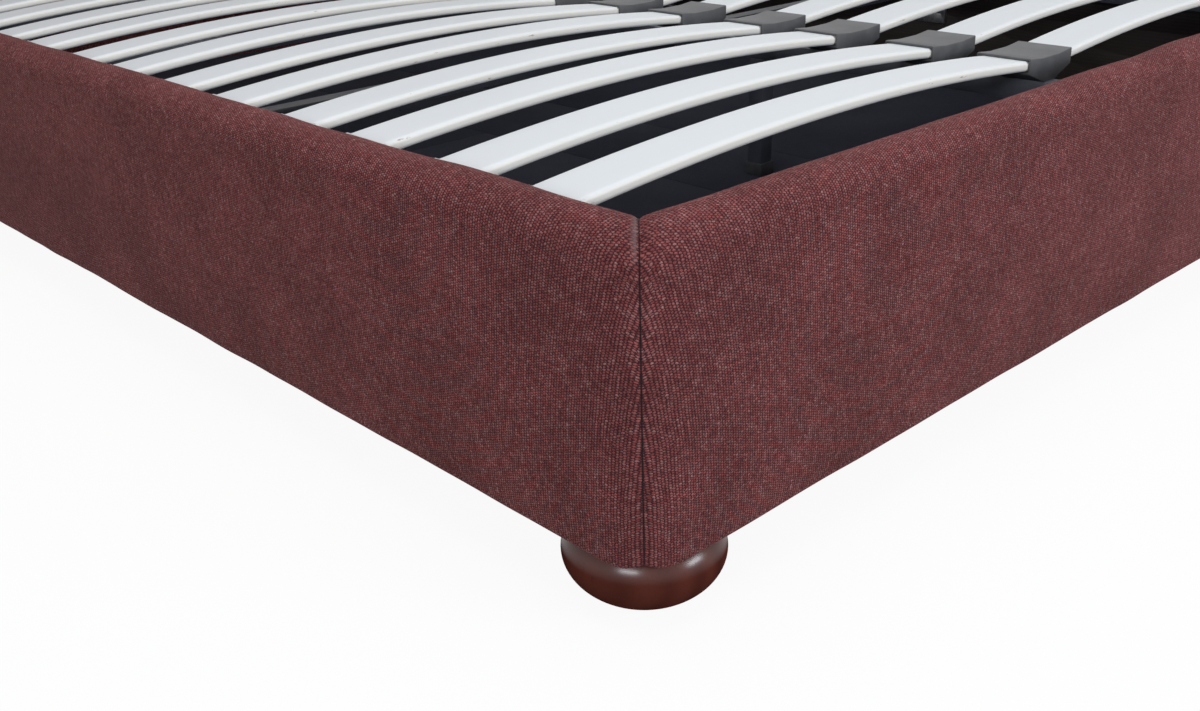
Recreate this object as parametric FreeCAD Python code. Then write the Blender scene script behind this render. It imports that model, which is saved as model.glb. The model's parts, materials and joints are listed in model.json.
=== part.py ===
import FreeCAD, Part
import math
import os

Vector = FreeCAD.Vector

# The bed stands on Z = 0 with its foot towards -Y, X runs across it. Lengths are in millimetres.

# Whole bed
mattress_width = 1524.0
mattress_length = 2032.0
mattress_side_play = 6.0
mattress_end_play = 8.0
rail_thickness = 60.0
rail_height = 290.0
ground_clearance = 65.0
headboard_height = 1080.0
headboard_thickness = 72.0
soft_gap = 0.3
seat_gap = 0.3
overrun = 5.0

# Rail covers: cloth and foam round the outside and over the top of each board
cover_flap_thickness = 4.0
cover_flap_depth = 63.0
cover_top_padding = 28.0
cover_bottom_lip = 3.0
face_crown = 3.0
roll_radius = 28.0
bottom_radius = 12.0
corner_round_start = 55.0
corner_round_radius = 83.0
corner_skin = 8.0
corner_steps = 6
rail_end_radius = 14.0
rail_end_steps = 4

# Rail boards
board_thickness = 22.0

# Headboard
headboard_pad = 36.0
headboard_panel_thickness = 32.0
headboard_border = 20.0
headboard_back_lip = 10.0
headboard_edge_radius = 25.0
headboard_crown = 14.0
headboard_seam_rise = 8.0
headboard_steps = 6
headboard_bulge_power = 4
headboard_top_steps = 4

# Bun feet
bun_radius = 72.5
bun_widest = 44.0
bun_height_radius_below = 47.6
bun_height_radius_above = 45.0
bun_depth_inside = 14.0
glide_radius = 25.0
glide_thickness = 3.0
hanger_bolt_radius = 5.0
hanger_bolt_into_foot = 38.0
hanger_bolt_into_block = 30.0
bolt_hole_gap = 0.3

# Corner blocks, cleats, beams and legs under the storage floor
block_width = 100.0
floor_top = 117.0
floor_thickness = 12.0
floor_side_gap = 0.5
panel_joint_gap = 0.3
centre_strip_width = 220.0
cleat_height = 30.0
cleat_width = 20.0
beam_width = 45.0
batten_width = 40.0
support_leg_radius = 25.0
support_leg_spread = 600.0
support_leg_steps = (-1, 0, 1)

# Slat platform, square steel tube
tube_size = 25.0
tube_wall = 1.5
platform_side_gap = 13.0
platform_foot_gap = 13.0
platform_head_gap = 24.0
tube_bottom = 287.0
cross_tube_from_foot = 746.0
cross_tube_pitch = 500.0
cross_tube_rows = 3
plug_flange = 2.0
plug_depth = 14.0
plug_gap = 0.1

# Bowed slats in two columns
slat_rows = 14
slat_first_from_foot = 174.0
slat_pitch = 137.25
slat_row_shift_shares = (0, -0.054, 0, -0.085)
slat_width = 64.0
slat_thickness = 12.0
slat_apex = 357.0
slat_bow = 18.95
slat_edge_radius = 5.2
slat_inner_end = 20.0
holder_wall = 3.0
holder_gap = 0.4
end_cap_length = 27.0
end_cap_wall = 2.2
end_cap_lip = 5.0
centre_holder_half = 48.0

# Leg in the middle of the platform
leg_from_foot = 577.5
leg_cap_width = 29.0
leg_cap_height = 15.0
leg_cap_socket = 4.0

# Lift mechanism on the inner face of each side board
pivot_from_platform_head = 195.0
pivot_height = 225.0
arm_pin_ahead = 100.0
arm_pin_height = 268.0
strut_pin_ahead = 560.0
strut_pin_height = 145.0
plate_thickness = 5.0
fixed_plate_ahead = 110.0
fixed_plate_behind = 60.0
fixed_plate_low = 150.0
fixed_plate_high = 283.0
fixed_plate_bolt_edge = 15.0
arm_thickness = 6.0
arm_reach = 270.0
arm_behind = 60.0
arm_edge = 2.0
arm_pivot_radius = 19.0
arm_pin_radius = 15.0
arm_bolt_spacing = 85.0
arm_bolt_first = 65.0
arm_bolt_count = 3
pivot_radius = 7.0
pivot_shoulder_radius = 12.0
pivot_play = 0.06
side_play = 0.3
pivot_nut_radius = 11.0
pivot_nut_thickness = 6.0
nut_sides = 6

# Gas struts
strut_offset = 12.0
cylinder_radius = 11.0
cylinder_bore = 9.0
cylinder_start = 15.0
cylinder_cap = 4.0
guide_length = 24.0
rod_radius = 5.0
rod_showing = 22.0
rod_inner_share = 0.2
piston_length = 12.0
piston_play = 0.1
eye_radius = 9.0
eye_width = 12.0
neck_radius = 5.6
strut_stud_radius = 5.0
stud_collar_radius = 8.0
stud_head_radius = 8.0
stud_head_thickness = 3.0
socket_barrel_radius = 5.6
socket_barrel_length = 20.0
ball_flange_radius = 9.0
ball_flange_thickness = 3.0
ball_neck_radius = 4.0
strut_bracket_half = 40.0
strut_bracket_low = 121.0
strut_bracket_high = 181.0
strut_bracket_bolt_out = 28.0

# Steel brackets and the bolts that hold them to the boards
bolt_radius = 4.0
bolt_head_radius = 7.0
bolt_head_height = 3.5
bolt_into_board = 18.0
bracket_thickness = 4.0
corner_bracket_leg = 60.0
corner_bracket_low = 140.0
corner_bracket_high = 260.0
corner_bracket_bolt_in = 40.0
bracket_bolt_edge = 22.0
rest_bracket_drop = 70.0
rest_bracket_width = 60.0
rest_bracket_gap_to_tube = 3.0
rest_pad_width = 50.0
rest_pad_margin = 2.0
foot_rest_spread = 500.0
side_rest_from_foot = 790.0
rest_bolt_half = 15.0
rest_bolt_drop = 45.0

# Headboard bolts and the barrel nuts in the side boards
headboard_bolt_heights = (150.0, 250.0)
headboard_bolt_into_rail = 58.0
barrel_nut_radius = 7.0
barrel_nut_from_end = 45.0
barrel_nut_inset = 1.0

# Pull strap round the foot tube
strap_across = 150.0
strap_width = 40.0
strap_thickness = 2.0
strap_drop = 115.0


# Places that follow from the sizes above
inner_half = mattress_width / 2 + mattress_side_play
outer_half = inner_half + rail_thickness
inner_length = mattress_length + mattress_end_play
total_length = rail_thickness + inner_length + headboard_thickness
foot_face = -total_length / 2
foot_inner = foot_face + rail_thickness
head_front = foot_inner + inner_length
head_back = head_front + headboard_thickness
rail_bottom = ground_clearance
rail_top = rail_bottom + rail_height
side_rail_length = head_front - foot_face - soft_gap

board_inner = inner_half + cover_flap_thickness
board_outer = board_inner + board_thickness
board_bottom = rail_bottom + cover_bottom_lip
board_top = rail_top - cover_top_padding
foot_board_inner = foot_inner - cover_flap_thickness
foot_board_outer = foot_board_inner - board_thickness
flap_bottom = rail_top - cover_flap_depth

foot_block_y = foot_board_inner
head_block_y = head_front - seat_gap
floor_underside = floor_top - floor_thickness
bun_x = inner_half - bun_depth_inside
bun_foot_y = foot_inner + bun_depth_inside
bun_head_y = head_front - bun_depth_inside
bun_top = rail_bottom - seat_gap

platform_half = inner_half - platform_side_gap
platform_foot = foot_inner + platform_foot_gap
platform_head = head_front - platform_head_gap
tube_top = tube_bottom + tube_size
tube_middle = tube_bottom + tube_size / 2
slat_outer_end = platform_half

pivot_y = platform_head - pivot_from_platform_head
arm_pin_y = pivot_y - arm_pin_ahead
strut_pin_y = pivot_y - strut_pin_ahead
plate_face = board_inner - plate_thickness
arm_outer_face = platform_half + arm_thickness
strut_x = platform_half - strut_offset

rest_bracket_top = tube_bottom - rest_bracket_gap_to_tube
sides = (("left", -1), ("right", 1))


def box(x_pair, y_pair, z_pair):
    x0, x1 = sorted(x_pair)
    y0, y1 = sorted(y_pair)
    z0, z1 = sorted(z_pair)
    return Part.makeBox(x1 - x0, y1 - y0, z1 - z0, Vector(x0, y0, z0))


def rod(start, end, radius):
    return Part.makeCylinder(radius, (end - start).Length, start, end - start)


def rod_along_x(x_pair, y, z, radius):
    return rod(Vector(x_pair[0], y, z), Vector(x_pair[1], y, z), radius)


def rod_along_y(x, y_pair, z, radius):
    return rod(Vector(x, y_pair[0], z), Vector(x, y_pair[1], z), radius)


def rod_upright(x, y, z_pair, radius):
    return rod(Vector(x, y, z_pair[0]), Vector(x, y, z_pair[1]), radius)


def prism(points, direction):
    loop = list(points) + [points[0]]
    return Part.Face(Part.makePolygon(loop)).extrude(direction)


def cut_all(shape, tools):
    for tool in tools:
        shape = shape.cut(tool)
    return shape


def fuse_all(shapes):
    joined = shapes[0]
    for shape in shapes[1:]:
        joined = joined.fuse(shape)
    return joined.removeSplitter()


def save(name, shapes):
    solids = [solid for shape in shapes for solid in shape.Solids]
    result = solids[0] if len(solids) == 1 else Part.makeCompound(solids)
    result.exportStep("parts/" + name + ".step")


def mirror_x(shape):
    return shape.mirror(Vector(0, 0, 0), Vector(1, 0, 0))


# Rails

def rail_frame(name):
    """Return a function from along, outward and upward sizes of one rail to a point."""
    if name == "foot":
        return lambda s, u, w: Vector(s - outer_half, foot_inner - u, rail_bottom + w)
    sign = dict(sides)[name]
    return lambda s, u, w: Vector(sign * (inner_half + u), foot_face + s, rail_bottom + w)


def arc(start, middle, end):
    return Part.Arc(start, middle, end).toShape()


def line(start, end):
    return Part.LineSegment(start, end).toShape()


def rail_section(place, s, inset):
    outer = rail_thickness - inset
    face = outer - face_crown
    low = inset
    high = rail_height - inset
    inner_roll = face - roll_radius
    diagonal = math.sqrt(0.5)

    def point(u, w):
        return place(s, u, w)

    def turn(radius, u_side, w_side):
        u_middle = face - radius if u_side > 0 else radius
        w_middle = high - radius if w_side > 0 else low + radius
        return point(u_middle + u_side * radius * diagonal, w_middle + w_side * radius * diagonal)

    lip_end = point(face - bottom_radius, low)
    corner_low = point(face, low + bottom_radius)
    corner_high = point(face, high - roll_radius)
    crest = point(face - roll_radius, high)
    inner_top = point(0, high - inner_roll)
    bottom_turn = turn(bottom_radius, 1, -1)
    roll_turn = turn(roll_radius, 1, 1)
    inner_turn = turn(inner_roll, -1, 1)
    return Part.Wire([
        line(point(0, low), lip_end),
        arc(lip_end, bottom_turn, corner_low),
        arc(corner_low, point(outer, (low + high) / 2), corner_high),
        arc(corner_high, roll_turn, crest),
        arc(crest, inner_turn, inner_top),
        line(inner_top, point(0, low)),
    ])


def corner_stations():
    """Distances from the outer corner, and how far the cover has drawn in there."""
    first = math.asin((corner_round_start - corner_skin) / corner_round_radius)
    stations = []
    for step in range(corner_steps + 1):
        angle = first * (1 - step / corner_steps)
        along = corner_round_start - corner_round_radius * math.sin(angle)
        stations.append((along, corner_round_radius * (1 - math.cos(angle))))
    return stations


def square_end_stations():
    """The cover's soft edge where it meets the headboard."""
    stations = []
    for step in range(rail_end_steps + 1):
        angle = math.pi / 2 * step / rail_end_steps
        stations.append((rail_end_radius * (1 - math.sin(angle)), rail_end_radius * (1 - math.cos(angle))))
    return stations


def mitre_tool(side, keep_side_rail):
    """The part of the corner that the other rail's cover takes."""
    half_gap = soft_gap * math.sqrt(0.5)
    far = rail_thickness + overrun
    out = -overrun
    plan = [(out, out + half_gap), (far, far + half_gap), (far, 2 * out), (out, 2 * out)]
    if not keep_side_rail:
        plan = [(deep_y, deep_x) for deep_x, deep_y in plan]
    points = [Vector(side * (outer_half - dx), foot_face + dy, rail_bottom - overrun) for dx, dy in plan]
    return prism(points, Vector(0, 0, rail_height + 2 * overrun))


def local_box(place, s_pair, u_pair, w_pair):
    a = place(s_pair[0], u_pair[0], w_pair[0])
    b = place(s_pair[1], u_pair[1], w_pair[1])
    return box((a.x, b.x), (a.y, b.y), (a.z, b.z))


def rail_cover(name):
    place = rail_frame(name)
    if name == "foot":
        length = 2 * outer_half
        ends = [(length - s, inset) for s, inset in reversed(corner_stations())]
        mitres = [mitre_tool(side, False) for label, side in sides]
    else:
        length = side_rail_length
        ends = [(length - s, inset) for s, inset in square_end_stations()]
        mitres = [mitre_tool(dict(sides)[name], True)]
    sections = [rail_section(place, s, inset) for s, inset in corner_stations() + ends]
    solid = Part.makeLoft(sections, True, True)

    start = rail_thickness - cover_flap_thickness - board_thickness - soft_gap
    stop = length - start if name == "foot" else length + overrun
    deep = cover_flap_thickness + board_thickness + soft_gap
    flap_low = flap_bottom - rail_bottom
    board_high = board_top - rail_bottom + soft_gap
    lip = cover_bottom_lip - soft_gap
    pockets = [
        local_box(place, (start, stop), (-overrun, deep), (lip, flap_low)),
        local_box(place, (start, stop), (cover_flap_thickness - soft_gap, deep), (lip, board_high)),
        local_box(place, (start, stop), (-overrun, cover_flap_thickness + soft_gap), (-overrun, flap_low)),
    ]
    return cut_all(solid, mitres + pockets)


def side_board(side):
    return box((side * board_inner, side * board_outer), (foot_board_outer, head_front - seat_gap),
               (board_bottom, board_top))


def foot_board():
    return box((-board_inner, board_inner), (foot_board_outer, foot_board_inner), (board_bottom, board_top))


# Headboard

def headboard_section(z, half, front_edge, front_middle, back):
    r = min(headboard_edge_radius, (back - front_edge) / 2)
    diagonal = r * (1 - math.sqrt(0.5))
    edges = [line(Vector(-half, back, z), Vector(half, back, z)),
             line(Vector(half, back, z), Vector(half, front_edge + r, z)),
             arc(Vector(half, front_edge + r, z), Vector(half - diagonal, front_edge + diagonal, z),
                 Vector(half - r, front_edge, z))]
    ends = (Vector(half - r, front_edge, z), Vector(-half + r, front_edge, z))
    if front_middle == front_edge:
        edges.append(line(*ends))
    else:
        edges.append(arc(ends[0], Vector(0, front_middle, z), ends[1]))
    edges += [arc(Vector(-half + r, front_edge, z), Vector(-half + diagonal, front_edge + diagonal, z),
                  Vector(-half, front_edge + r, z)),
              line(Vector(-half, front_edge + r, z), Vector(-half, back, z))]
    return Part.Wire(edges)


def headboard_cover():
    seam = rail_top + headboard_seam_rise
    round_start = headboard_height - headboard_edge_radius
    lower = Part.makeLoft([headboard_section(z, outer_half, head_front, head_front, head_back)
                           for z in (rail_bottom, seam)], True, True)
    sections = []
    for step in range(headboard_steps + 1):
        share = step / headboard_steps
        z = seam + (round_start - seam) * share
        bulge = 1 - (2 * share - 1) ** headboard_bulge_power
        middle = head_front + headboard_crown / 2 * (1 - bulge)
        sections.append(headboard_section(z, outer_half, middle + headboard_crown / 2, middle, head_back))
    for step in range(1, headboard_top_steps + 1):
        angle = math.pi / 2 * step / headboard_top_steps
        draw = headboard_edge_radius * (1 - math.cos(angle))
        z = round_start + headboard_edge_radius * math.sin(angle)
        middle = head_front + headboard_crown / 2 + draw
        sections.append(headboard_section(z, outer_half - draw, middle + headboard_crown / 2, middle,
                                          head_back - draw / 2))
    upper = Part.makeLoft(sections, True, True)
    return fuse_all([lower, upper])


panel_half = outer_half - headboard_border
panel_low = rail_bottom + headboard_border
panel_high = headboard_height - headboard_border - headboard_crown / 2
panel_front = head_front + headboard_pad
panel_back = panel_front + headboard_panel_thickness


def headboard_panel():
    return box((-panel_half, panel_half), (panel_front, panel_back), (panel_low, panel_high))


def headboard_pocket():
    room = soft_gap
    return [
        box((-panel_half - room, panel_half + room), (panel_front - room, panel_back + room),
            (panel_low - room, panel_high + room)),
        box((headboard_back_lip - panel_half, panel_half - headboard_back_lip),
            (panel_back, head_back + overrun),
            (panel_low + headboard_back_lip, panel_high - headboard_back_lip)),
    ]


# Feet and what carries the storage floor

def bun_point(turn):
    height_radius = bun_height_radius_below if turn < 0 else bun_height_radius_above
    return Vector(bun_radius * math.cos(turn), 0, bun_widest + height_radius * math.sin(turn))


def bun_foot(x, y):
    low_turn = -math.asin((bun_widest - glide_thickness) / bun_height_radius_below)
    high_turn = math.asin((bun_top - bun_widest) / bun_height_radius_above)
    turns = (low_turn, low_turn / 2, 0, high_turn / 2, high_turn)
    curves = [arc(bun_point(before), bun_point((before + after) / 2), bun_point(after))
              for before, after in zip(turns, turns[1:])]
    start = bun_point(low_turn)
    end = bun_point(high_turn)
    axis_low = Vector(0, 0, start.z)
    axis_high = Vector(0, 0, end.z)
    outline = Part.Wire(curves + [line(end, axis_high), line(axis_high, axis_low), line(axis_low, start)])
    solid = Part.Face(outline).revolve(Vector(0, 0, 0), Vector(0, 0, 1), 360)
    solid.translate(Vector(x, y, 0))
    return solid.cut(hanger_bolt(x, y, bolt_hole_gap))


def hanger_bolt(x, y, grow=0.0):
    return rod_upright(x, y, (bun_top - hanger_bolt_into_foot, bun_top + hanger_bolt_into_block),
                       hanger_bolt_radius + grow)


def foot_places():
    return [("foot_end_left", -bun_x, bun_foot_y), ("foot_end_right", bun_x, bun_foot_y),
            ("head_end_left", -bun_x, bun_head_y), ("head_end_right", bun_x, bun_head_y)]


def corner_blocks():
    blocks = []
    for label, side in sides:
        x_pair = (side * board_inner, side * (board_inner - block_width))
        blocks.append(box(x_pair, (foot_block_y, foot_block_y + block_width), (bun_top, floor_underside)))
        blocks.append(box(x_pair, (head_block_y - block_width, head_block_y), (bun_top, floor_underside)))
    return blocks


def storage_floor():
    strip_half = centre_strip_width / 2
    y_foot = foot_block_y + floor_side_gap
    y_head = head_block_y - floor_side_gap
    z_pair = (floor_underside, floor_top)
    pieces = {"floor_centre_strip": box((-strip_half, strip_half), (y_foot, y_head), z_pair)}
    for label, side in sides:
        x_pair = (side * (strip_half + panel_joint_gap), side * (board_inner - floor_side_gap))
        pieces["floor_panel_" + label + "_foot"] = box(x_pair, (y_foot, -panel_joint_gap / 2), z_pair)
        pieces["floor_panel_" + label + "_head"] = box(x_pair, (panel_joint_gap / 2, y_head), z_pair)
    return pieces


cleat_pair = (floor_underside - cleat_height, floor_underside)
beam_middle = centre_strip_width / 2
beam_ends = (foot_block_y + cleat_width, head_block_y - cleat_width)


def side_cleats():
    y_pair = (foot_block_y + block_width, head_block_y - block_width)
    return [box((side * board_inner, side * (board_inner - cleat_width)), y_pair, cleat_pair)
            for label, side in sides]


def end_cleats():
    half = board_inner - block_width
    return [box((-half, half), (foot_block_y, foot_block_y + cleat_width), cleat_pair),
            box((-half, half), (head_block_y - cleat_width, head_block_y), cleat_pair)]


def floor_beams():
    return [box((side * beam_middle - beam_width / 2, side * beam_middle + beam_width / 2), beam_ends,
                (bun_top, floor_underside)) for label, side in sides]


def cross_battens():
    inner = beam_middle - beam_width / 2
    outer = beam_middle + beam_width / 2
    y_pair = (-batten_width / 2, batten_width / 2)
    battens = [box((side * outer, side * (board_inner - cleat_width)), y_pair, cleat_pair)
               for label, side in sides]
    return battens + [box((-inner, inner), y_pair, cleat_pair)]


def support_legs():
    return [rod_upright(side * beam_middle, step * support_leg_spread, (0, bun_top), support_leg_radius)
            for label, side in sides for step in support_leg_steps]


# Steel brackets and their bolts. A bolt place is a point on a board's face and the way into the board.

def board_bolt(point, into, grip, grow=0.0):
    shank = rod(point - into * grip, point + into * bolt_into_board, bolt_radius + grow)
    if grow:
        return shank
    head = rod(point - into * (grip + bolt_head_height), point - into * grip, bolt_head_radius)
    return shank.fuse(head).removeSplitter()


def corner_brackets():
    brackets = []
    z_pair = (corner_bracket_low, corner_bracket_high)
    for label, side in sides:
        x_face = side * board_inner
        inward = -side
        on_side = box((x_face, x_face + inward * bracket_thickness),
                      (foot_board_inner, foot_board_inner + corner_bracket_leg), z_pair)
        on_foot = box((x_face, x_face + inward * corner_bracket_leg),
                      (foot_board_inner, foot_board_inner + bracket_thickness), z_pair)
        brackets.append(fuse_all([on_side, on_foot]))
    return brackets


def corner_bolt_places():
    places = []
    for z in (corner_bracket_low + bracket_bolt_edge, corner_bracket_high - bracket_bolt_edge):
        for label, side in sides:
            places.append((Vector(side * board_inner, foot_board_inner + corner_bracket_bolt_in, z),
                           Vector(side, 0, 0), bracket_thickness))
            places.append((Vector(side * (board_inner - corner_bracket_bolt_in), foot_board_inner, z),
                           Vector(0, -1, 0), bracket_thickness))
    return places


side_rest_y = foot_face + side_rest_from_foot


def rest_brackets():
    low = rest_bracket_top - rest_bracket_drop
    half = rest_bracket_width / 2
    ledge = (rest_bracket_top - bracket_thickness, rest_bracket_top)
    brackets = []
    for label, side in sides:
        x_pair = (side * foot_rest_spread - half, side * foot_rest_spread + half)
        upright = box(x_pair, (foot_board_inner, foot_board_inner + bracket_thickness),
                      (low, rest_bracket_top))
        shelf = box(x_pair, (foot_board_inner, platform_foot + tube_size + rest_pad_margin), ledge)
        brackets.append(fuse_all([upright, shelf]))
        y_pair = (side_rest_y - half, side_rest_y + half)
        x_face = side * board_inner
        upright = box((x_face, x_face - side * bracket_thickness), y_pair, (low, rest_bracket_top))
        shelf = box((x_face, side * (platform_half - tube_size - rest_pad_margin)), y_pair, ledge)
        brackets.append(fuse_all([upright, shelf]))
    return brackets


def rest_pads():
    half = rest_pad_width / 2
    z_pair = (rest_bracket_top, tube_bottom - seat_gap)
    pads = []
    for label, side in sides:
        y_pair = (platform_foot + rest_pad_margin, platform_foot + tube_size - rest_pad_margin)
        pads.append(box((side * foot_rest_spread - half, side * foot_rest_spread + half), y_pair, z_pair))
        pads.append(box((side * (platform_half - rest_pad_margin),
                         side * (platform_half - tube_size + rest_pad_margin)),
                        (side_rest_y - half, side_rest_y + half), z_pair))
    return pads


def rest_bolt_places():
    z = rest_bracket_top - rest_bolt_drop
    places = []
    for label, side in sides:
        for step in (-1, 1):
            places.append((Vector(side * foot_rest_spread + step * rest_bolt_half, foot_board_inner, z),
                           Vector(0, -1, 0), bracket_thickness))
            places.append((Vector(side * board_inner, side_rest_y + step * rest_bolt_half, z),
                           Vector(side, 0, 0), bracket_thickness))
    return places


# Lift mechanism

def fixed_plate(side):
    x_pair = (side * board_inner, side * plate_face)
    return box(x_pair, (pivot_y - fixed_plate_ahead, pivot_y + fixed_plate_behind),
               (fixed_plate_low, fixed_plate_high))


def strut_bracket(side):
    x_pair = (side * board_inner, side * plate_face)
    return box(x_pair, (strut_pin_y - strut_bracket_half, strut_pin_y + strut_bracket_half),
               (strut_bracket_low, strut_bracket_high))


def mechanism_bolt_places():
    places = []
    edge = fixed_plate_bolt_edge
    for label, side in sides:
        into = Vector(side, 0, 0)
        for y in (pivot_y - fixed_plate_ahead + edge, pivot_y + fixed_plate_behind - edge):
            for z in (fixed_plate_low + edge, fixed_plate_high - edge):
                places.append((Vector(side * board_inner, y, z), into, plate_thickness))
        for step in (-1, 1):
            y = strut_pin_y + step * strut_bracket_bolt_out
            places.append((Vector(side * board_inner, y, strut_pin_height), into, plate_thickness))
    return places


def pivot_stud(side):
    inner_end = platform_half - side_play - pivot_nut_thickness - bracket_thickness
    shaft = rod_along_x((side * plate_face, side * inner_end), pivot_y, pivot_height, pivot_radius)
    shoulder = rod_along_x((side * plate_face, side * (arm_outer_face + side_play)), pivot_y, pivot_height,
                           pivot_shoulder_radius)
    return shaft.fuse(shoulder).removeSplitter()


def pivot_nut(side):
    far = platform_half - side_play
    near = far - pivot_nut_thickness
    turns = [2 * math.pi * k / nut_sides for k in range(nut_sides)]
    corners = [Vector(side * near, pivot_y + pivot_nut_radius * math.cos(turn),
                      pivot_height + pivot_nut_radius * math.sin(turn)) for turn in turns]
    nut = prism(corners, Vector(side * (far - near), 0, 0))
    return nut.cut(rod_along_x((side * (near - overrun), side * (far + overrun)), pivot_y, pivot_height,
                               pivot_radius))


def lift_arm(side):
    face = side * platform_half
    across = Vector(side * arm_thickness, 0, 0)
    low = tube_bottom + arm_edge
    high = tube_top - arm_edge
    strip = box((face, side * arm_outer_face), (pivot_y - arm_reach, pivot_y + arm_behind), (low, high))
    web = prism([Vector(face, pivot_y + arm_behind, low + tube_size / 2),
                 Vector(face, pivot_y + arm_behind, low),
                 Vector(face, pivot_y + arm_pivot_radius, pivot_height),
                 Vector(face, pivot_y, pivot_height - arm_pivot_radius),
                 Vector(face, arm_pin_y, arm_pin_height - arm_pin_radius),
                 Vector(face, pivot_y - arm_reach, low),
                 Vector(face, pivot_y - arm_reach, low + tube_size / 2)], across)
    boss = rod_along_x((face, side * arm_outer_face), pivot_y, pivot_height, arm_pivot_radius)
    lobe = rod_along_x((face, side * arm_outer_face), arm_pin_y, arm_pin_height, arm_pin_radius)
    bore = rod_along_x((face - side * overrun, side * (arm_outer_face + overrun)), pivot_y, pivot_height,
                       pivot_radius + pivot_play)
    return fuse_all([strip, web, boss, lobe]).cut(bore)


def arm_bolt_places(side):
    return [(Vector(side * platform_half, pivot_y - arm_bolt_first - k * arm_bolt_spacing, tube_middle),
             Vector(-side, 0, 0), arm_thickness) for k in range(arm_bolt_count)]


def arm_bolt(place, grow=0.0):
    point, into, grip = place
    tail = tube_wall + bolt_head_height
    shank = rod(point - into * grip, point + into * tail, bolt_radius + grow)
    if grow:
        return shank
    head = rod(point - into * (grip + bolt_head_height), point - into * grip, bolt_head_radius)
    return shank.fuse(head).removeSplitter()


def strut_geometry(side):
    lower = Vector(side * strut_x, strut_pin_y, strut_pin_height)
    upper = Vector(side * strut_x, arm_pin_y, arm_pin_height)
    way = (upper - lower).normalize()
    return lower, upper, way


def strut_stud(side):
    inner = strut_x - eye_width / 2 - side_play
    outer = strut_x + eye_width / 2 + side_play
    shaft = rod_along_x((side * plate_face, side * inner), strut_pin_y, strut_pin_height, strut_stud_radius)
    collar = rod_along_x((side * plate_face, side * outer), strut_pin_y, strut_pin_height,
                         stud_collar_radius)
    head = rod_along_x((side * inner, side * (inner - stud_head_thickness)), strut_pin_y, strut_pin_height,
                       stud_head_radius)
    return fuse_all([shaft, collar, head])


def eye(centre, side):
    half = side * eye_width / 2
    return rod_along_x((centre.x - half, centre.x + half), centre.y, centre.z, eye_radius)


def strut_cylinder(side):
    lower, upper, way = strut_geometry(side)
    length = (upper - lower).Length
    mouth = length - socket_barrel_length - rod_showing
    barrel = rod(lower + way * cylinder_start, lower + way * mouth, cylinder_radius)
    neck = rod(lower, lower + way * (cylinder_start + cylinder_cap), neck_radius)
    bore = rod(lower + way * (cylinder_start + cylinder_cap), lower + way * (mouth - guide_length),
               cylinder_bore)
    guide = rod(lower + way * (mouth - guide_length - overrun), lower + way * (mouth + overrun),
                rod_radius + pivot_play)
    hole = rod_along_x((lower.x - eye_width, lower.x + eye_width), lower.y, lower.z,
                       strut_stud_radius + pivot_play)
    return cut_all(fuse_all([barrel, neck, eye(lower, side)]), [bore, guide, hole])


def strut_rod(side):
    lower, upper, way = strut_geometry(side)
    length = (upper - lower).Length
    start = length * rod_inner_share
    shaft = rod(lower + way * start, lower + way * (length - socket_barrel_length), rod_radius)
    piston = rod(lower + way * start, lower + way * (start + piston_length), cylinder_bore - piston_play)
    return shaft.fuse(piston).removeSplitter()


def rod_end(side):
    lower, upper, way = strut_geometry(side)
    barrel = rod(upper - way * socket_barrel_length, upper, socket_barrel_radius)
    bore = rod_along_x((upper.x - eye_width, upper.x + eye_width), upper.y, upper.z,
                       ball_neck_radius + pivot_play)
    return fuse_all([barrel, eye(upper, side)]).cut(bore)


def ball_stud(side):
    lower, upper, way = strut_geometry(side)
    inner = upper.x - side * (eye_width / 2 + side_play)
    outer = side * (platform_half - side_play)
    neck = rod_along_x((inner, outer), upper.y, upper.z, ball_neck_radius)
    flange = rod_along_x((outer, outer - side * ball_flange_thickness), upper.y, upper.z,
                         ball_flange_radius)
    head = rod_along_x((inner, inner - side * stud_head_thickness), upper.y, upper.z, stud_head_radius)
    return fuse_all([neck, flange, head])


# Slat platform

def hollow_tube(x_pair, y_pair, z_pair, axis):
    pairs = [sorted(x_pair), sorted(y_pair), sorted(z_pair)]
    inner = []
    for k, (low, high) in enumerate(pairs):
        if k == axis:
            inner.append((low - overrun, high + overrun))
        else:
            inner.append((low + tube_wall, high - tube_wall))
    return box(*pairs).cut(box(*inner))


def cross_tube_places():
    return [foot_face + cross_tube_from_foot + k * cross_tube_pitch for k in range(cross_tube_rows)]


def platform_tubes():
    z_pair = (tube_bottom, tube_top)
    foot_pair = (platform_foot, platform_foot + tube_size)
    head_pair = (platform_head - tube_size, platform_head)
    between = (foot_pair[1], head_pair[0])
    half = tube_size / 2
    side_inner = platform_half - tube_size
    cross_places = cross_tube_places()
    tubes = {
        "platform_foot_tube": [hollow_tube((-platform_half, platform_half), foot_pair, z_pair, 0)],
        "platform_head_tube": [hollow_tube((-platform_half, platform_half), head_pair, z_pair, 0)],
        "platform_centre_tube": [hollow_tube((-half, half), between, z_pair, 1)],
        "platform_cross_tubes": [
            hollow_tube((side * half, side * side_inner), (y - half, y + half), z_pair, 0)
            for y in cross_places for label, side in sides],
    }
    for label, side in sides:
        tube = hollow_tube((side * side_inner, side * platform_half), between, z_pair, 1)
        holes = [arm_bolt(place, bolt_hole_gap) for place in arm_bolt_places(side)]
        tubes["platform_side_tube_" + label] = [cut_all(tube, holes)]
    return tubes


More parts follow.
